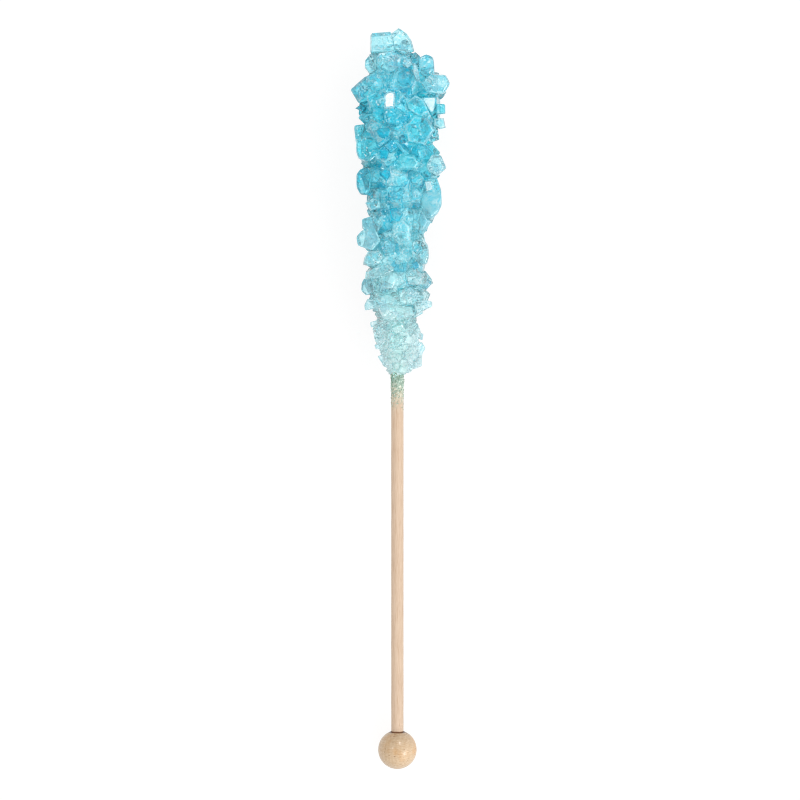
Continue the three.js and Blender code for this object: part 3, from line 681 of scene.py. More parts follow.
def lumpy_rod(s, end, pace, around, reach_of, wobble):
    """A closed rod round the stick's axis with an uneven radius."""
    bm = bmesh.new()
    bm.faces.layers.float.new("tone")
    bm.faces.layers.float.new("frost")
    rings = []
    while s < end:
        ring = []
        for k in range(around):
            a = k / around * 2 * math.pi
            r = reach_of(s, a) * (1 + wobble * noise.noise(Vector((math.cos(a) * 1.3, math.sin(a) * 1.3, s * 0.25))))
            ring.append(bm.verts.new((r * math.cos(a), s, r * math.sin(a))))
        rings.append(ring)
        s += pace
    for a, b in zip(rings, rings[1:]):
        for k in range(around):
            bm.faces.new((a[k], b[k], b[(k + 1) % around], a[(k + 1) % around]))
    bm.faces.new(rings[0])
    bm.faces.new(rings[-1][::-1])
    bmesh.ops.recalc_face_normals(bm, faces=bm.faces[:])
    return bm


# the grown-together middle that all crystals share
def middle(s, a):
    left, right, up, down, size = outline_at(s)
    return max(STICK_D / 2 + 0.4, min(left, right, up, down) - 0.62 * size)


parts.append(as_mesh("core", lumpy_rod(93.2, 173.2, 1.0, 24, middle, 0.2), TO_FRAME))

candy = joined(parts, "sugar_crystals")
tidy(candy)
for v in candy.data.vertices:  # the faces it rests on
    v.co.z = max(v.co.z, 0.0)
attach(candy, "root")
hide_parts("candy")

# inner crystals: the crust of cloudy crystals round the stick that the large clear ones grew on
seeds = []


def crust_reach(s, a):
    """How far the crust reaches from the stick's axis."""
    share = 0.2 + 0.5 * min(1, max(0, (s - 97) / 22))
    return max(STICK_D / 2 + 0.12, share * reach_at(s, a) - 0.3)


seeds.append(as_mesh("crust", lumpy_rod(92.2, 171.0, 0.9, 28, lambda s, a: crust_reach(s, a) - 0.3, 0.1), TO_FRAME))
s = 92.6
while s < 170.4:
    reach = crust_reach(s, 0.8)
    small = 0.55 + 0.24 * reach
    count = max(7, math.floor(2 * math.pi * reach / (1.05 * small)))
    for k in range(count):
        phi = (k + looks.between(-0.5, 0.5)) / count * 2 * math.pi
        big = small * looks.between(0.55, 1.5)
        ring = crystal_ring(big, big * looks.between(0.8, 1.3), looks)
        out = crust_reach(s, phi) * looks.between(0.9, 1.12) - 0.3 * big
        bm = block(ring, big * looks.between(0.8, 1.2), looks, 0, 0.05 * big, looks(), 0.3, looks.between(0.6, 1.0), 1)
        turned = (
            about("Y", 90 - math.degrees(phi)) @ about("Z", looks.between(-90, 90)) @ about("X", looks.between(-50, 50)) @ about("Y", looks.between(-50, 50))
        )
        at = Vector((math.cos(phi) * out, s + looks.between(-0.5, 0.5) * small, math.sin(phi) * out))
        seeds.append(as_mesh("grain", bm, TO_FRAME @ Matrix.Translation(at) @ turned))
    s += 0.85 * small
seed = joined(seeds, "sugar_inner")
tidy(seed)
shape = bmesh.new()
shape.from_mesh(candy.data)
skin_tree = BVHTree.FromBMesh(shape)
shape.free()
to_stick = TO_FRAME.inverted()
for v in seed.data.vertices:  # nowhere nearer to the surface than half a millimetre
    for _ in range(14):
        near, normal, _, far = skin_tree.find_nearest(v.co)
        if (near - v.co).dot(normal) > 0 and far > 0.0005:
            break
        local = to_stick @ v.co
        reach = math.hypot(local.x, local.z)
        if reach < STICK_D / 2 + 0.12:
            break
        keep = max(STICK_D / 2 + 0.1, reach - 0.35) / reach
        v.co = TO_FRAME @ Vector((local.x * keep, local.y, local.z * keep))
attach(seed, "root")


# sugar grains that cling to the stick below the candy, fewer further down
grains = bmesh.new()
grains.faces.layers.float.new("tone")
grains.faces.layers.float.new("frost")
s = 92.8
while s > 83.6:
    share = min(1, max(0, (s - 83.6) / 8.5))
    for k in range(math.floor(2 + 22 * share)):
        phi = looks.between(0, 2 * math.pi)
        big = looks.between(0.14, 0.24) + 0.2 * share**2 * looks()
        ring = crystal_ring(big, big * looks.between(0.8, 1.3), looks)
        turned = facing(Vector((math.cos(phi), 0, math.sin(phi)))) @ about("Z", looks.between(-90, 90)) @ about("X", looks.between(-30, 30))
        out = STICK_D / 2 + 0.12 * big
        at = Vector((math.cos(phi) * out, s + looks.between(-0.15, 0.15), math.sin(phi) * out))
        bm = block(ring, big * looks.between(0.7, 1.1), looks, 0, 0.12 * big, looks.between(0.3, 1.0), 0.2, 0.8, 1, 0.5)
        mesh = as_mesh("grain", bm, TO_FRAME @ Matrix.Translation(at) @ turned)
        grains.from_mesh(mesh)
        bpy.data.meshes.remove(mesh)
    s -= 0.3
mesh = bpy.data.meshes.new("sugar_grains")
grains.to_mesh(mesh)
grains.free()
dust = new_object("sugar_grains", mesh)
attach(dust, "root")


# ---------------------------------------------------------------- stick and ball
def turned_mesh(name, profile, around, wobble=0.0, seed=0.0):
    """Spins [radius, along] pairs about the stick's axis; both ends close on the axis."""
    bm = bmesh.new()
    rows = []
    for r, y in profile:
        if r < 1e-6:
            rows.append([bm.verts.new((0, y, 0))])
            continue
        row = []
        for k in range(around):
            a = k / around * 2 * math.pi
            n = noise.noise(Vector((math.cos(a) * 1.7 + seed, math.sin(a) * 1.7, y * 0.35)))
            q = r + wobble * n
            row.append(bm.verts.new((q * math.cos(a), y, q * math.sin(a))))
        rows.append(row)
    for a, b in zip(rows, rows[1:]):
        for k in range(around):
            j = (k + 1) % around
            if len(a) == 1:
                bm.faces.new((a[0], b[k], b[j]))
            elif len(b) == 1:
                bm.faces.new((a[k], b[0], a[j]))
            else:
                bm.faces.new((a[k], b[k], b[j], a[j]))
    bmesh.ops.recalc_face_normals(bm, faces=bm.faces[:])
    for f in bm.faces:
        f.smooth = True
    return as_mesh(name, bm, TO_FRAME)


neck = math.sqrt(BALL_R**2 - BALL_NECK_R**2)
foot_of_stick = neck - 6.2 + 0.3
profile = [(0, foot_of_stick), (1.25, foot_of_stick), (1.42, foot_of_stick + 0.06), (1.5, foot_of_stick + 0.2)]
y = foot_of_stick + 1.0
while y < STICK_TOP - 1:
    profile.append((1.5, y))
    y += 1.1
profile += [(1.5, STICK_TOP - 0.2), (1.42, STICK_TOP - 0.06), (1.25, STICK_TOP), (0, STICK_TOP)]
stick = new_object("wood_stick", turned_mesh("wood_stick", profile, 48, 0.025, 3.0))
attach(stick, "root")
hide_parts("stick")

profile = [(0, -BALL_R)]
top = math.atan2(neck, BALL_NECK_R + 0.12)
for k in range(1, 41):
    a = -math.pi / 2 + k / 40 * (top + math.pi / 2)
    profile.append((BALL_R * math.cos(a), BALL_R * math.sin(a)))
profile += [
    (BALL_NECK_R, neck + 0.0),
    (1.72, neck - 0.02),
    (1.62, neck - 0.1),
    (1.58, neck - 0.5),
    (1.58, neck - 6.2),
    (0, neck - 7.0),
]
ball = new_object("wood_ball", turned_mesh("wood_ball", profile, 64, 0.02, 9.0))
for v in ball.data.vertices:  # the small flat it rests on
    v.co.z = max(v.co.z, 0.0)
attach(ball, "root")
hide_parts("ball")


# ---------------------------------------------------------------- materials
class Nodes:
    """Short names for building a node material."""

    def __init__(self, name):
        self.mat = bpy.data.materials.new(name)
        self.mat.use_nodes = True
        self.tree = self.mat.node_tree
        self.tree.nodes.clear()
        self.out = self.tree.nodes.new("ShaderNodeOutputMaterial")

    def add(self, kind, _out=0, **inputs):
        node = self.tree.nodes.new("ShaderNode" + kind)
        for key, value in inputs.items():
            if key.startswith("_"):
                setattr(node, key[1:], value)
                continue
            socket = node.inputs[int(key[1:])] if key[0] == "i" and key[1:].isdigit() else node.inputs[key.replace("_", " ")]
            if isinstance(value, bpy.types.NodeSocket):
                self.tree.links.new(value, socket)
            elif isinstance(value, bpy.types.Node):
                self.tree.links.new(value.outputs[0], socket)
            else:
                socket.default_value = value
        return node

    def link(self, a, b):
        self.tree.links.new(a, b)

    def ramp(self, factor, stops, interpolation="LINEAR"):
        node = self.tree.nodes.new("ShaderNodeValToRGB")
        node.color_ramp.interpolation = interpolation
        while len(node.color_ramp.elements) < len(stops):
            node.color_ramp.elements.new(0.5)
        for element, (at, colour) in zip(node.color_ramp.elements, stops):
            element.position = at
            element.color = (*colour, 1) if len(colour) == 3 else colour
        self.tree.links.new(factor, node.inputs[0])
        return node.outputs[0]

    def math(self, op, a, b=0.0, clamp=False):
        node = self.tree.nodes.new("ShaderNodeMath")
        node.operation = op
        node.use_clamp = clamp
        for socket, value in zip(node.inputs, (a, b)):
            if isinstance(value, bpy.types.NodeSocket):
                self.tree.links.new(value, socket)
            else:
                socket.default_value = value
        return node.outputs[0]

    def mix(self, factor, a, b, blend="MIX"):
        node = self.tree.nodes.new("ShaderNodeMix")
        node.data_type = "RGBA"
        node.blend_type = blend
        for socket, value in zip((node.inputs[0], node.inputs[6], node.inputs[7]), (factor, a, b)):
            if isinstance(value, bpy.types.NodeSocket):
                self.tree.links.new(value, socket)
            else:
                socket.default_value = value if not isinstance(value, tuple) or len(value) == 4 else (*value, 1)
        return node.outputs[2]


def srgb(r, g, b):
    """Linear colour of an 8-bit one."""
    return tuple((c / 12.92 if c <= 0.04045 else ((c + 0.055) / 1.055) ** 2.4) for c in (r / 255, g / 255, b / 255))


def along(n):
    """Distance along the stick from the ball's centre, in mm, at the shaded point."""
    place = n.add("TexCoord").outputs["Object"]
    y = n.tree.nodes.new("ShaderNodeSeparateXYZ")
    n.link(place, y.inputs[0])
    return n.math("ADD", n.math("MULTIPLY", y.outputs[1], 1000.0), -LYING.y), place


# sugar: clear to slightly milky, blue at the tip and paler towards the foot, each crystal with its own tone
m = Nodes("sugar")
s, place = along(m)
mm = m.add("Mapping", Vector=place, Scale=(1000, 1000, 1000)).outputs[0]
cloud = m.add("TexNoise", Vector=mm, Scale=0.22, Detail=3.0, Roughness=0.55).outputs[0]
shift = m.math("ADD", s, m.math("MULTIPLY", m.math("SUBTRACT", cloud, 0.5), 22.0))
t = m.math("DIVIDE", m.math("SUBTRACT", shift, 92.0), 84.0, clamp=True)
tint = m.ramp(t, [
    (0.05, srgb(232, 242, 242)),
    (0.2, srgb(232, 244, 245)),
    (0.3, srgb(210, 243, 247)),
    (0.45, srgb(192, 240, 248)),
    (0.54, srgb(164, 237, 247)),
    (0.64, srgb(106, 232, 246)),
    (0.78, srgb(130, 234, 247)),
    (0.9, srgb(190, 240, 249)),
    (1.0, srgb(215, 248, 252)),
])
tone = m.add("Attribute", _attribute_name="tone").outputs["Fac"]
frost = m.add("Attribute", _attribute_name="frost").outputs["Fac"]
pale = m.math("MULTIPLY", m.math("SUBTRACT", tone, 0.5, clamp=True), 1.8, clamp=True)
deep = m.math("MULTIPLY", m.math("SUBTRACT", 0.5, tone, clamp=True), 1.5, clamp=True)
tint = m.mix(pale, tint, srgb(244, 252, 253))
tint = m.mix(deep, tint, srgb(0, 174, 202))
fine = m.add("TexNoise", Vector=mm, Scale=1.6, Detail=4.0, Roughness=0.6).outputs[0]
# growth marks in the surface: short curling lines, some pale, some deep, thicker here and thinner there
curl = m.add("TexNoise", Vector=mm, Scale=0.7, Detail=2.0, Roughness=0.6, Distortion=0.9).outputs[0]
where = m.ramp(m.add("TexNoise", Vector=mm, Scale=0.16, Detail=1.0).outputs[0], [(0.4, (0.15, 0.15, 0.15)), (0.6, (1, 1, 1))])
dark = m.math("MULTIPLY", m.ramp(curl, [(0.37, (0, 0, 0)), (0.42, (1, 1, 1)), (0.47, (0, 0, 0))]), where)
light = m.math("MULTIPLY", m.ramp(curl, [(0.52, (0, 0, 0)), (0.57, (1, 1, 1)), (0.62, (0, 0, 0))]), where)
mark = m.ramp(t, [(0.1, srgb(170, 214, 214)), (0.3, srgb(110, 208, 220)), (0.5, srgb(12, 198, 222))])
calm = m.ramp(t, [(0.12, (0.3, 0.3, 0.3)), (0.35, (1, 1, 1))])
dark = m.math("MULTIPLY", dark, calm)
light = m.math("MULTIPLY", light, m.math("SUBTRACT", 1.0, m.math("MULTIPLY", deep, 0.7), clamp=True))
tint = m.mix(m.math("MULTIPLY", m.math("MULTIPLY", dark, 0.75), m.math("SUBTRACT", 1.0, m.math("MULTIPLY", pale, 0.6))), tint, mark)
tint = m.mix(m.math("MULTIPLY", light, 0.7), tint, srgb(240, 253, 254))
# finer cracks, thin and deep blue, in some places
crack = m.add("TexNoise", Vector=mm, Scale=1.7, Detail=2.0, Roughness=0.6, Distortion=0.7).outputs[0]
crack = m.ramp(crack, [(0.455, (0, 0, 0)), (0.485, (1, 1, 1)), (0.515, (0, 0, 0))])
crack = m.math("MULTIPLY", m.math("MULTIPLY", crack, calm), m.ramp(cloud, [(0.42, (1, 1, 1)), (0.58, (0.1, 0.1, 0.1))]))
tint = m.mix(m.math("MULTIPLY", crack, 0.5), tint, mark)
# small flecks, white and deep, in patches
fleck = m.add("TexNoise", Vector=mm, Scale=1.25, Detail=3.0, Roughness=0.6).outputs[0]
patches = m.ramp(m.add("TexNoise", Vector=mm, Scale=0.24, Detail=1.0).outputs[0], [(0.5, (0, 0, 0)), (0.6, (1, 1, 1))])
patches = m.math("MULTIPLY", patches, calm)
bright = m.math("MULTIPLY", m.ramp(fleck, [(0.57, (0, 0, 0)), (0.62, (1, 1, 1))]), patches)
sunk = m.math("MULTIPLY", m.ramp(fleck, [(0.38, (1, 1, 1)), (0.43, (0, 0, 0))]), patches)
tint = m.mix(m.math("MULTIPLY", sunk, 0.65), tint, srgb(8, 188, 214))
tint = m.mix(m.math("MULTIPLY", bright, 0.8), tint, srgb(226, 244, 246))
# eased edges painted paler and partly opaque where they are frosted: partly real frosting, partly a painted highlight
# along the pale crystals' edges; deep crystals get deep blue edges
edge = m.math("MULTIPLY", frost, m.ramp(m.add("TexNoise", Vector=mm, Scale=0.35, Detail=1.0).outputs[0], [(0.4, (0.1, 0.1, 0.1)), (0.62, (1, 1, 1))]))
edge_tint = m.ramp(tone, [(0.0, srgb(50, 180, 206)), (0.35, srgb(120, 214, 230)), (1.0, srgb(232, 251, 253))])
tint = m.mix(m.math("MULTIPLY", edge, 0.7), tint, edge_tint)
# faces with a tone above 0.98 are painted nearly white and opaque, with faint crackle: on the random faces and small
# crystals with such tones this is their white colour, and on bright_wedge, bright_square and glint_a it is a painted
# highlight where they glint
white_and_glint = m.math("MULTIPLY", m.math("SUBTRACT", tone, 0.98, clamp=True), 6.0, clamp=True)
etched = m.ramp(m.add("TexNoise", Vector=mm, Scale=1.2, Detail=2.0, Distortion=1.2).outputs[0], [(0.4, (0, 0, 0)), (0.44, (1, 1, 1)), (0.5, (1, 1, 1)), (0.54, (0, 0, 0))])
tint = m.mix(m.math("MULTIPLY", m.math("MULTIPLY", etched, pale), 0.7), tint, srgb(96, 190, 208))
crackle = m.ramp(m.add("TexNoise", Vector=mm, Scale=3.2, Detail=2.0, Distortion=0.8).outputs[0], [(0.4, (0, 0, 0)), (0.45, (1, 1, 1)), (0.5, (1, 1, 1)), (0.55, (0, 0, 0))])
tint = m.mix(white_and_glint, tint, m.mix(m.math("MULTIPLY", crackle, 0.6), srgb(232, 238, 237), srgb(100, 176, 190)))
opaque = m.math("MAXIMUM", m.math("MULTIPLY", edge, 0.5), m.math("MULTIPLY", m.math("MAXIMUM", m.math("MAXIMUM", dark, light), m.math("MAXIMUM", bright, sunk)), 0.42))
opaque = m.math("MAXIMUM", opaque, m.math("MULTIPLY", white_and_glint, 0.75))
filled_in = m.math("MULTIPLY", m.math("SUBTRACT", 0.22, tone, clamp=True), 2.0, clamp=True)
filled_in = m.math("MULTIPLY", filled_in, m.ramp(fleck, [(0.4, (0.2, 0.2, 0.2)), (0.6, (0.6, 0.6, 0.6))]))
opaque = m.math("MAXIMUM", opaque, filled_in)
opaque = m.math("MAXIMUM", opaque, m.ramp(t, [(0.1, (0.2, 0.2, 0.2)), (0.26, (0, 0, 0))]))
opaque = m.math("MINIMUM", opaque, 0.8)
clearness = m.math("SUBTRACT", 0.88, opaque)
lines = m.add("TexNoise", Vector=m.add("Mapping", Vector=mm, Scale=(0.6, 3.2, 0.6)).outputs[0], Scale=1.0, Detail=3.0).outputs[0]
bump = m.add("Bump", Strength=0.2, Distance=0.00003, Height=m.math("ADD", lines, m.math("MULTIPLY", fine, 0.6)))
rough = m.math("MULTIPLY", cloud, 0.06)
# the foot is frosted, and the plate on the right is dull in one place
rough = m.math("MAXIMUM", rough, m.ramp(t, [(0.04, (0.5, 0.5, 0.5)), (0.14, (0.22, 0.22, 0.22)), (0.24, (0, 0, 0))]))
across = m.add("SeparateXYZ", Vector=mm).outputs[0]
dull = m.math("ADD", m.math("ABSOLUTE", m.math("SUBTRACT", s, 134.1)), m.math("ABSOLUTE", m.math("SUBTRACT", across, LYING.x + 8.5)))
dull = m.ramp(m.math("DIVIDE", dull, 5.0, clamp=True), [(0.6, (0.4, 0.4, 0.4)), (1.0, (0, 0, 0))])
rough = m.math("MAXIMUM", rough, dull)
skin = m.add(
    "BsdfPrincipled",
    Base_Color=tint,
    Roughness=rough,
    IOR=1.54,
    Transmission_Weight=clearness,
    Normal=bump.outputs[0],
)
# light from outside reaches the cloudy crystals inside
clear = m.add("BsdfTransparent", Color=m.mix(0.78, tint, (1.0, 1.0, 1.0)))
whole = m.add("MixShader", i0=m.add("LightPath").outputs["Is Shadow Ray"], i1=skin, i2=clear)
m.link(whole.outputs[0], m.out.inputs["Surface"])
fog = m.add("VolumeAbsorption", Color=(0.03, 0.88, 0.91, 1), Density=60.0)
m.link(fog.outputs[0], m.out.inputs["Volume"])
candy.data.materials.clear()
candy.data.materials.append(m.mat)

# grains on the stick: frosted, a little green from the wood under them
m = Nodes("sugar_grain")
s, place = along(m)
mm = m.add("Mapping", Vector=place, Scale=(1000, 1000, 1000)).outputs[0]
speckle = m.add("TexNoise", Vector=mm, Scale=2.2, Detail=3.0).outputs[0]
tone = m.add("Attribute", _attribute_name="tone").outputs["Fac"]
body = m.ramp(tone, [(0.3, srgb(112, 148, 128)), (0.6, srgb(160, 188, 168)), (0.95, srgb(226, 238, 224))])
body = m.mix(m.ramp(speckle, [(0.4, (0.5, 0.5, 0.5)), (0.6, (0, 0, 0))]), body, srgb(112, 150, 132))
bump = m.add("Bump", Strength=0.3, Distance=0.00003, Height=speckle)
skin = m.add("BsdfPrincipled", Base_Color=body, Roughness=0.25, IOR=1.5, Transmission_Weight=0.3, Normal=bump.outputs[0])
m.link(skin.outputs[0], m.out.inputs["Surface"])
dust.data.materials.clear()
dust.data.materials.append(m.mat)

# cloudy small crystals inside
m = Nodes("sugar_cloudy")
s, place = along(m)
mm = m.add("Mapping", Vector=place, Scale=(1000, 1000, 1000)).outputs[0]
cloud = m.add("TexNoise", Vector=mm, Scale=0.3, Detail=2.0, Roughness=0.5).outputs[0]
shift = m.math("ADD", s, m.math("MULTIPLY", m.math("SUBTRACT", cloud, 0.5), 16.0))
t = m.math("DIVIDE", m.math("SUBTRACT", shift, 92.0), 84.0, clamp=True)
body = m.ramp(t, [
    (0.02, srgb(150, 216, 204)),
    (0.12, srgb(176, 230, 224)),
    (0.2, srgb(226, 250, 250)),
    (0.3, srgb(186, 241, 248)),
    (0.6, srgb(66, 236, 252)),
    (0.8, srgb(72, 237, 252)),
    (1.0, srgb(200, 247, 253)),
])
patch = m.ramp(cloud, [(0.44, (0, 0, 0)), (0.56, (1, 1, 1))])
body = m.mix(m.math("MULTIPLY", patch, 0.3), body, m.ramp(t, [(0.2, srgb(225, 240, 238)), (0.5, srgb(70, 200, 216))]))
tone = m.add("Attribute", _attribute_name="tone").outputs["Fac"]
body = m.mix(m.math("MULTIPLY", m.math("SUBTRACT", tone, 0.5, clamp=True), 1.8, clamp=True), body, m.ramp(t, [(0.06, srgb(190, 232, 224)), (0.2, srgb(225, 252, 254))]))
blue = m.ramp(t, [(0.05, srgb(140, 206, 194)), (0.17, srgb(186, 230, 228)), (0.35, srgb(120, 220, 228)), (0.55, srgb(12, 196, 218))])
body = m.mix(m.math("MULTIPLY", m.math("SUBTRACT", 0.5, tone, clamp=True), 1.8, clamp=True), body, blue)
warp = m.add("TexNoise", Vector=mm, Scale=0.8, Detail=2.0).outputs["Color"]
bent = m.add("MixRGB", _blend_type="LINEAR_LIGHT", Fac=0.5, Color1=mm, Color2=warp).outputs[0]
crack = m.add("TexVoronoi", _feature="DISTANCE_TO_EDGE", Vector=bent, Scale=0.75).outputs["Distance"]
vein = m.ramp(crack, [(0.0, (1, 1, 1)), (0.06, (0, 0, 0))])
body = m.mix(m.math("MULTIPLY", vein, 0.75), body, srgb(232, 252, 254))
fine = m.add("TexNoise", Vector=mm, Scale=2.6, Detail=4.0, Roughness=0.7).outputs[0]
body = m.mix(m.ramp(fine, [(0.36, (0.7, 0.7, 0.7)), (0.46, (0, 0, 0))]), body, blue)
body = m.mix(m.ramp(fine, [(0.56, (0, 0, 0)), (0.66, (0.8, 0.8, 0.8))]), body, srgb(238, 253, 254))
bump = m.add("Bump", Strength=0.4, Distance=0.00008, Height=fine)
skin = m.add("BsdfPrincipled", Base_Color=body, Roughness=0.2, IOR=1.5, Transmission_Weight=0.1, Normal=bump.outputs[0])
m.link(skin.outputs[0], m.out.inputs["Surface"])
seed.data.materials.clear()
seed.data.materials.append(m.mat)

# wood of the stick: pale, fine grain along it, stained blue-green under and next to the sugar
m = Nodes("stick_wood")
s, place = along(m)
grain_at = m.add("Mapping", Vector=place, Scale=(5200, 210, 5200)).outputs[0]
grain = m.add("TexNoise", Vector=grain_at, Scale=1.0, Detail=5.0, Roughness=0.65).outputs[0]
broad = m.add("TexNoise", Vector=m.add("Mapping", Vector=place, Scale=(900, 35, 900)).outputs[0], Scale=1.0, Detail=2.0).outputs[0]
wood = m.ramp(grain, [(0.25, srgb(162, 132, 104)), (0.45, srgb(188, 164, 141)), (0.75, srgb(202, 181, 159))])
wood = m.mix(m.math("MULTIPLY", broad, 0.35), wood, srgb(178, 152, 125))
stain_noise = m.add("TexNoise", Vector=m.add("Mapping", Vector=place, Scale=(1500, 260, 1500)).outputs[0], Scale=1.0, Detail=4.0).outputs[0]
wet = m.math("ADD", s, m.math("MULTIPLY", m.math("SUBTRACT", stain_noise, 0.5), 7.0))
wet = m.math("DIVIDE", m.math("SUBTRACT", wet, 82.8), 9.6, clamp=True)
stain = m.ramp(wet, [(0.0, srgb(190, 170, 148)), (0.3, srgb(178, 184, 166)), (0.6, srgb(160, 186, 170)), (1.0, srgb(128, 184, 176))])
damp = m.add("TexNoise", Vector=m.add("Mapping", Vector=place, Scale=(2600, 1500, 2600)).outputs[0], Scale=1.0, Detail=3.0).outputs[0]
stain = m.mix(m.ramp(damp, [(0.4, (0.75, 0.75, 0.75)), (0.47, (0, 0, 0))]), stain, srgb(84, 124, 106))
stain = m.mix(m.ramp(damp, [(0.56, (0, 0, 0)), (0.63, (0.8, 0.8, 0.8))]), stain, srgb(222, 234, 218))
wood = m.mix(wet, wood, stain)
bump = m.add("Bump", Strength=0.35, Distance=0.00008, Height=grain)
# painted shade: the stick is painted dark brown up to 0.3 mm above the ball's rim, a painted contact shadow where it
# goes into the ball
wood = m.mix(m.math("MULTIPLY", m.math("SUBTRACT", neck + 0.3, s, clamp=True), 5.0, clamp=True), wood, srgb(120, 82, 54))
wood = m.mix(1.0, wood, (0.9, 0.9, 0.91), "MULTIPLY")
skin = m.add("BsdfPrincipled", Base_Color=wood, Roughness=m.math("ADD", 0.55, m.math("MULTIPLY", grain, 0.2)), Normal=bump.outputs[0])
m.link(skin.outputs[0], m.out.inputs["Surface"])
stick.data.materials.clear()
stick.data.materials.append(m.mat)

# wood of the ball: lacquered, rings of the turned blank showing faintly
m = Nodes("ball_wood")
s, place = along(m)
turn = m.add("Mapping", Vector=place, Rotation=(0.5, 0.3, 0.2), Scale=(1000, 1000, 1000)).outputs[0]
rings = m.add("TexWave", Vector=turn, Scale=0.35, Distortion=3.0, Detail=3.0, Detail_Scale=1.2).outputs[0]
pores = m.add("TexNoise", Vector=m.add("Mapping", Vector=place, Scale=(1100, 4200, 1100)).outputs[0], Scale=1.0, Detail=4.0, Roughness=0.7).outputs[0]
wood = m.ramp(pores, [(0.3, srgb(158, 128, 96)), (0.5, srgb(174, 151, 122)), (0.72, srgb(184, 162, 135))])
wood = m.mix(m.math("MULTIPLY", rings, 0.22), wood, srgb(158, 128, 94))
warm = m.add("TexNoise", Vector=m.add("Mapping", Vector=place, Location=(0.3, 0.1, 0.2), Scale=(240, 160, 240)).outputs[0], Scale=1.0, Detail=2.0).outputs[0]
wood = m.mix(m.ramp(warm, [(0.5, (0, 0, 0)), (0.66, (0.6, 0.6, 0.6))]), wood, srgb(178, 132, 78))
pits = m.add("TexNoise", Vector=m.add("Mapping", Vector=place, Scale=(1500, 2200, 1500)).outputs[0], Scale=1.0, Detail=1.0).outputs[0]
wood = m.mix(m.ramp(pits, [(0.7, (0, 0, 0)), (0.76, (0.7, 0.7, 0.7))]), wood, srgb(112, 82, 54))
# painted shade: a dark brown ring at the mouth of the hole, a painted shadow in the joint where the stick goes into the
# ball
wood = m.mix(m.math("MULTIPLY", m.math("SUBTRACT", s, neck - 0.2, clamp=True), 8.0, clamp=True), wood, srgb(98, 62, 38))
bump = m.add("Bump", Strength=0.3, Distance=0.0001, Height=pores)
skin = m.add(
    "BsdfPrincipled",
    Base_Color=wood,
    Roughness=0.42,
    Coat_Weight=0.5,
    Coat_Roughness=0.12,
    Normal=bump.outputs[0],
)
m.link(skin.outputs[0], m.out.inputs["Surface"])
ball.data.materials.clear()
ball.data.materials.append(m.mat)


# ---------------------------------------------------------------- floor, light, camera
m = Nodes("floor")
place = m.add("TexCoord").outputs["Object"]
paper = m.add("TexNoise", Vector=place, Scale=900.0, Detail=3.0).outputs[0]
shade = m.ramp(paper, [(0.3, (0.24, 0.24, 0.24)), (0.7, (0.26, 0.26, 0.26))])
skin = m.add("BsdfPrincipled", Base_Color=shade, Roughness=0.9)
skin.inputs["Specular IOR Level"].default_value = 0.2
skin.inputs["Emission Color"].default_value = (1, 1, 1, 1)
skin.inputs["Emission Strength"].default_value = 0.86
m.link(skin.outputs[0], m.out.inputs["Surface"])
m.mat.cycles.emission_sampling = "NONE"
bm = bmesh.new()
bmesh.ops.create_grid(bm, x_segments=1, y_segments=1, size=3.0)
mesh = bpy.data.meshes.new("floor")
bm.to_mesh(mesh)
bm.free()
floor = new_object("floor", mesh)
floor.data.materials.append(m.mat)

scene = bpy.context.scene
world = bpy.data.worlds.new("studio")
scene.world = world
world.use_nodes = True
world.cycles.sampling_method = "NONE"
tree = world.node_tree
tree.nodes.clear()
out = tree.nodes.new("ShaderNodeOutputWorld")
sky = tree.nodes.new("ShaderNodeBackground")
way = tree.nodes.new("ShaderNodeTexCoord")
split = tree.nodes.new("ShaderNodeSeparateXYZ")
tree.links.new(way.outputs["Generated"], split.inputs[0])
height = tree.nodes.new("ShaderNodeValToRGB")  # a bright ring of soft light, dimmer walls and a dimmer patch overhead
while len(height.color_ramp.elements) < 5:
    height.color_ramp.elements.new(0.5)
for element, (at, value) in zip(height.color_ramp.elements, ((0.0, 0.95), (0.25, 1.1), (0.5, 1.15), (0.75, 1.0), (0.92, 0.5))):
    element.position = at
    element.color = (value, value, value, 1)
tree.links.new(split.outputs[2], height.inputs[0])
side = tree.nodes.new("ShaderNodeVectorMath")  # more light from the right and the foot
side.operation = "DOT_PRODUCT"
side.inputs[1].default_value = (0.42, -0.25, 0.0)
tree.links.new(way.outputs["Generated"], side.inputs[0])
lift = tree.nodes.new("ShaderNodeMath")
lift.operation = "ADD"
lift.inputs[1].default_value = 1.0
tree.links.new(side.outputs["Value"], lift.inputs[0])
shaded = tree.nodes.new("ShaderNodeVectorMath")
shaded.operation = "SCALE"
tree.links.new(height.outputs[0], shaded.inputs[0])
tree.links.new(lift.outputs[0], shaded.inputs["Scale"])
tree.links.new(shaded.outputs[0], sky.inputs[0])
sky.inputs[1].default_value = 0.8
backdrop = tree.nodes.new("ShaderNodeBackground")  # what is seen behind the floor's far edge: plain and pale
backdrop.inputs[0].default_value = (0.98, 0.98, 0.98, 1)
seen = tree.nodes.new("ShaderNodeLightPath")
either = tree.nodes.new("ShaderNodeMixShader")
tree.links.new(seen.outputs["Is Camera Ray"], either.inputs[0])
tree.links.new(sky.outputs[0], either.inputs[1])
tree.links.new(backdrop.outputs[0], either.inputs[2])
tree.links.new(either.outputs[0], out.inputs[0])


def aimed(name, light, direction, distance):
    thing = bpy.data.objects.new(name, light)
    d = Vector(direction).normalized()
    thing.location = Vector((0, 0.02, 0.01)) + d * distance
    thing.rotation_euler = (-d).to_track_quat("-Z", "Y").to_euler()
    scene.collection.objects.link(thing)
    return thing


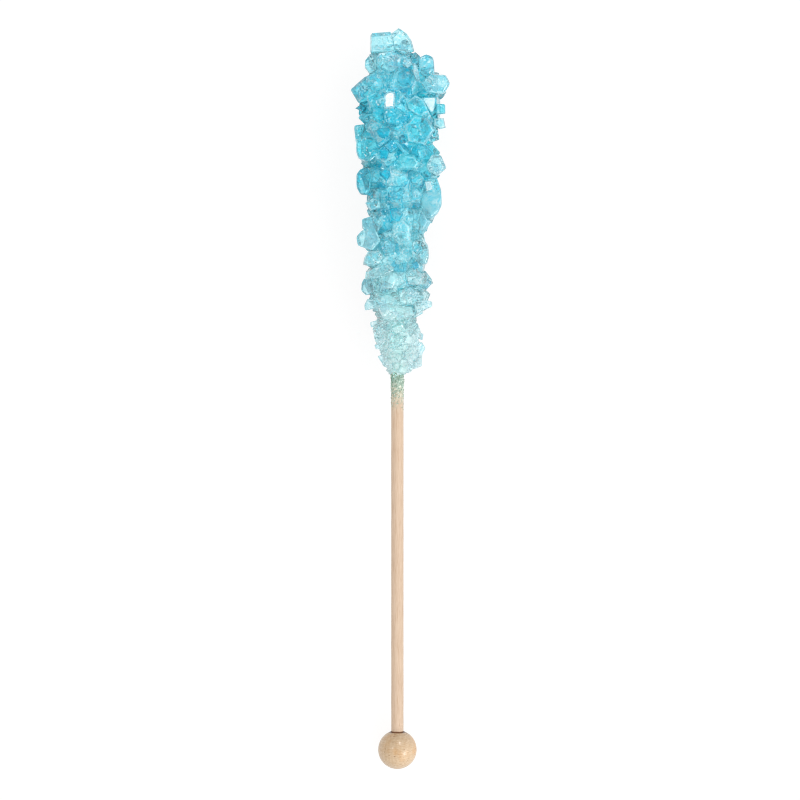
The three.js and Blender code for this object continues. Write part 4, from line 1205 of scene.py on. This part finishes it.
def glint(name, direction, distance, size, power):
    """A lamp that only shows as a small highlight."""
    light = bpy.data.lights.new(name, "AREA")
    light.shape = "SQUARE"
    light.size = size
    light.energy = power
    thing = aimed(name, light, direction, distance)
    thing.visible_diffuse = False
    thing.visible_transmission = False
    thing.visible_volume_scatter = False


def soft(name, direction, spread, strength, onto=None):
    """Broad soft light from one side, on the object alone: the pale floor keeps its even white."""
    light = bpy.data.lights.new(name, "SUN")
    light.energy = strength
    light.angle = math.radians(spread)
    light.cycles.use_multiple_importance_sampling = False
    thing = aimed(name, light, direction, 1.0)
    thing.visible_glossy = False
    thing.visible_transmission = False
    thing.light_linking.receiver_collection = onto or lit


lit = bpy.data.collections.new("lit")
for thing in (candy, seed, dust, stick, ball):
    lit.objects.link(thing)
glint("key", (0.616, -0.453, 0.642), 0.55, 0.14, 0.5)
glint("top", (0.25, 0.63, 0.73), 0.6, 0.14, 0.45)
glint("left", (-0.5, 0.1, 0.86), 0.6, 0.1, 0.3)
soft("right", (0.75, -0.3, 0.6), 50, 1.65)
soft("above", (0.0, -0.1, 1.0), 90, 1.45)
soft("far", (-0.7, 0.2, 0.5), 60, 1.2)
wooden = bpy.data.collections.new("wooden")
wooden.objects.link(ball)
soft("side", (0.95, -0.1, 0.3), 30, 0.85, wooden)

camera = bpy.data.cameras.new("camera")
camera.lens = 100
camera.sensor_width = 36
camera.clip_start = 0.01
eye = bpy.data.objects.new("camera", camera)
eye.location = (-0.000325, 0.00043, 0.5517)
eye.rotation_euler = (0, 0, 0)
scene.collection.objects.link(eye)
scene.camera = eye

scene.view_settings.view_transform = "Standard"
scene.view_settings.look = "None"
scene.view_settings.exposure = 0.0
scene.view_settings.gamma = 1.0
cycles = scene.cycles
cycles.max_bounces = 40
cycles.transmission_bounces = 32
cycles.diffuse_bounces = 6
cycles.glossy_bounces = 12
cycles.transparent_max_bounces = 16
cycles.volume_bounces = 2
cycles.caustics_refractive = False
cycles.caustics_reflective = False
cycles.blur_glossy = 0.1
cycles.sample_clamp_indirect = 6.0
cycles.use_denoising = True
cycles.filter_width = 1.0
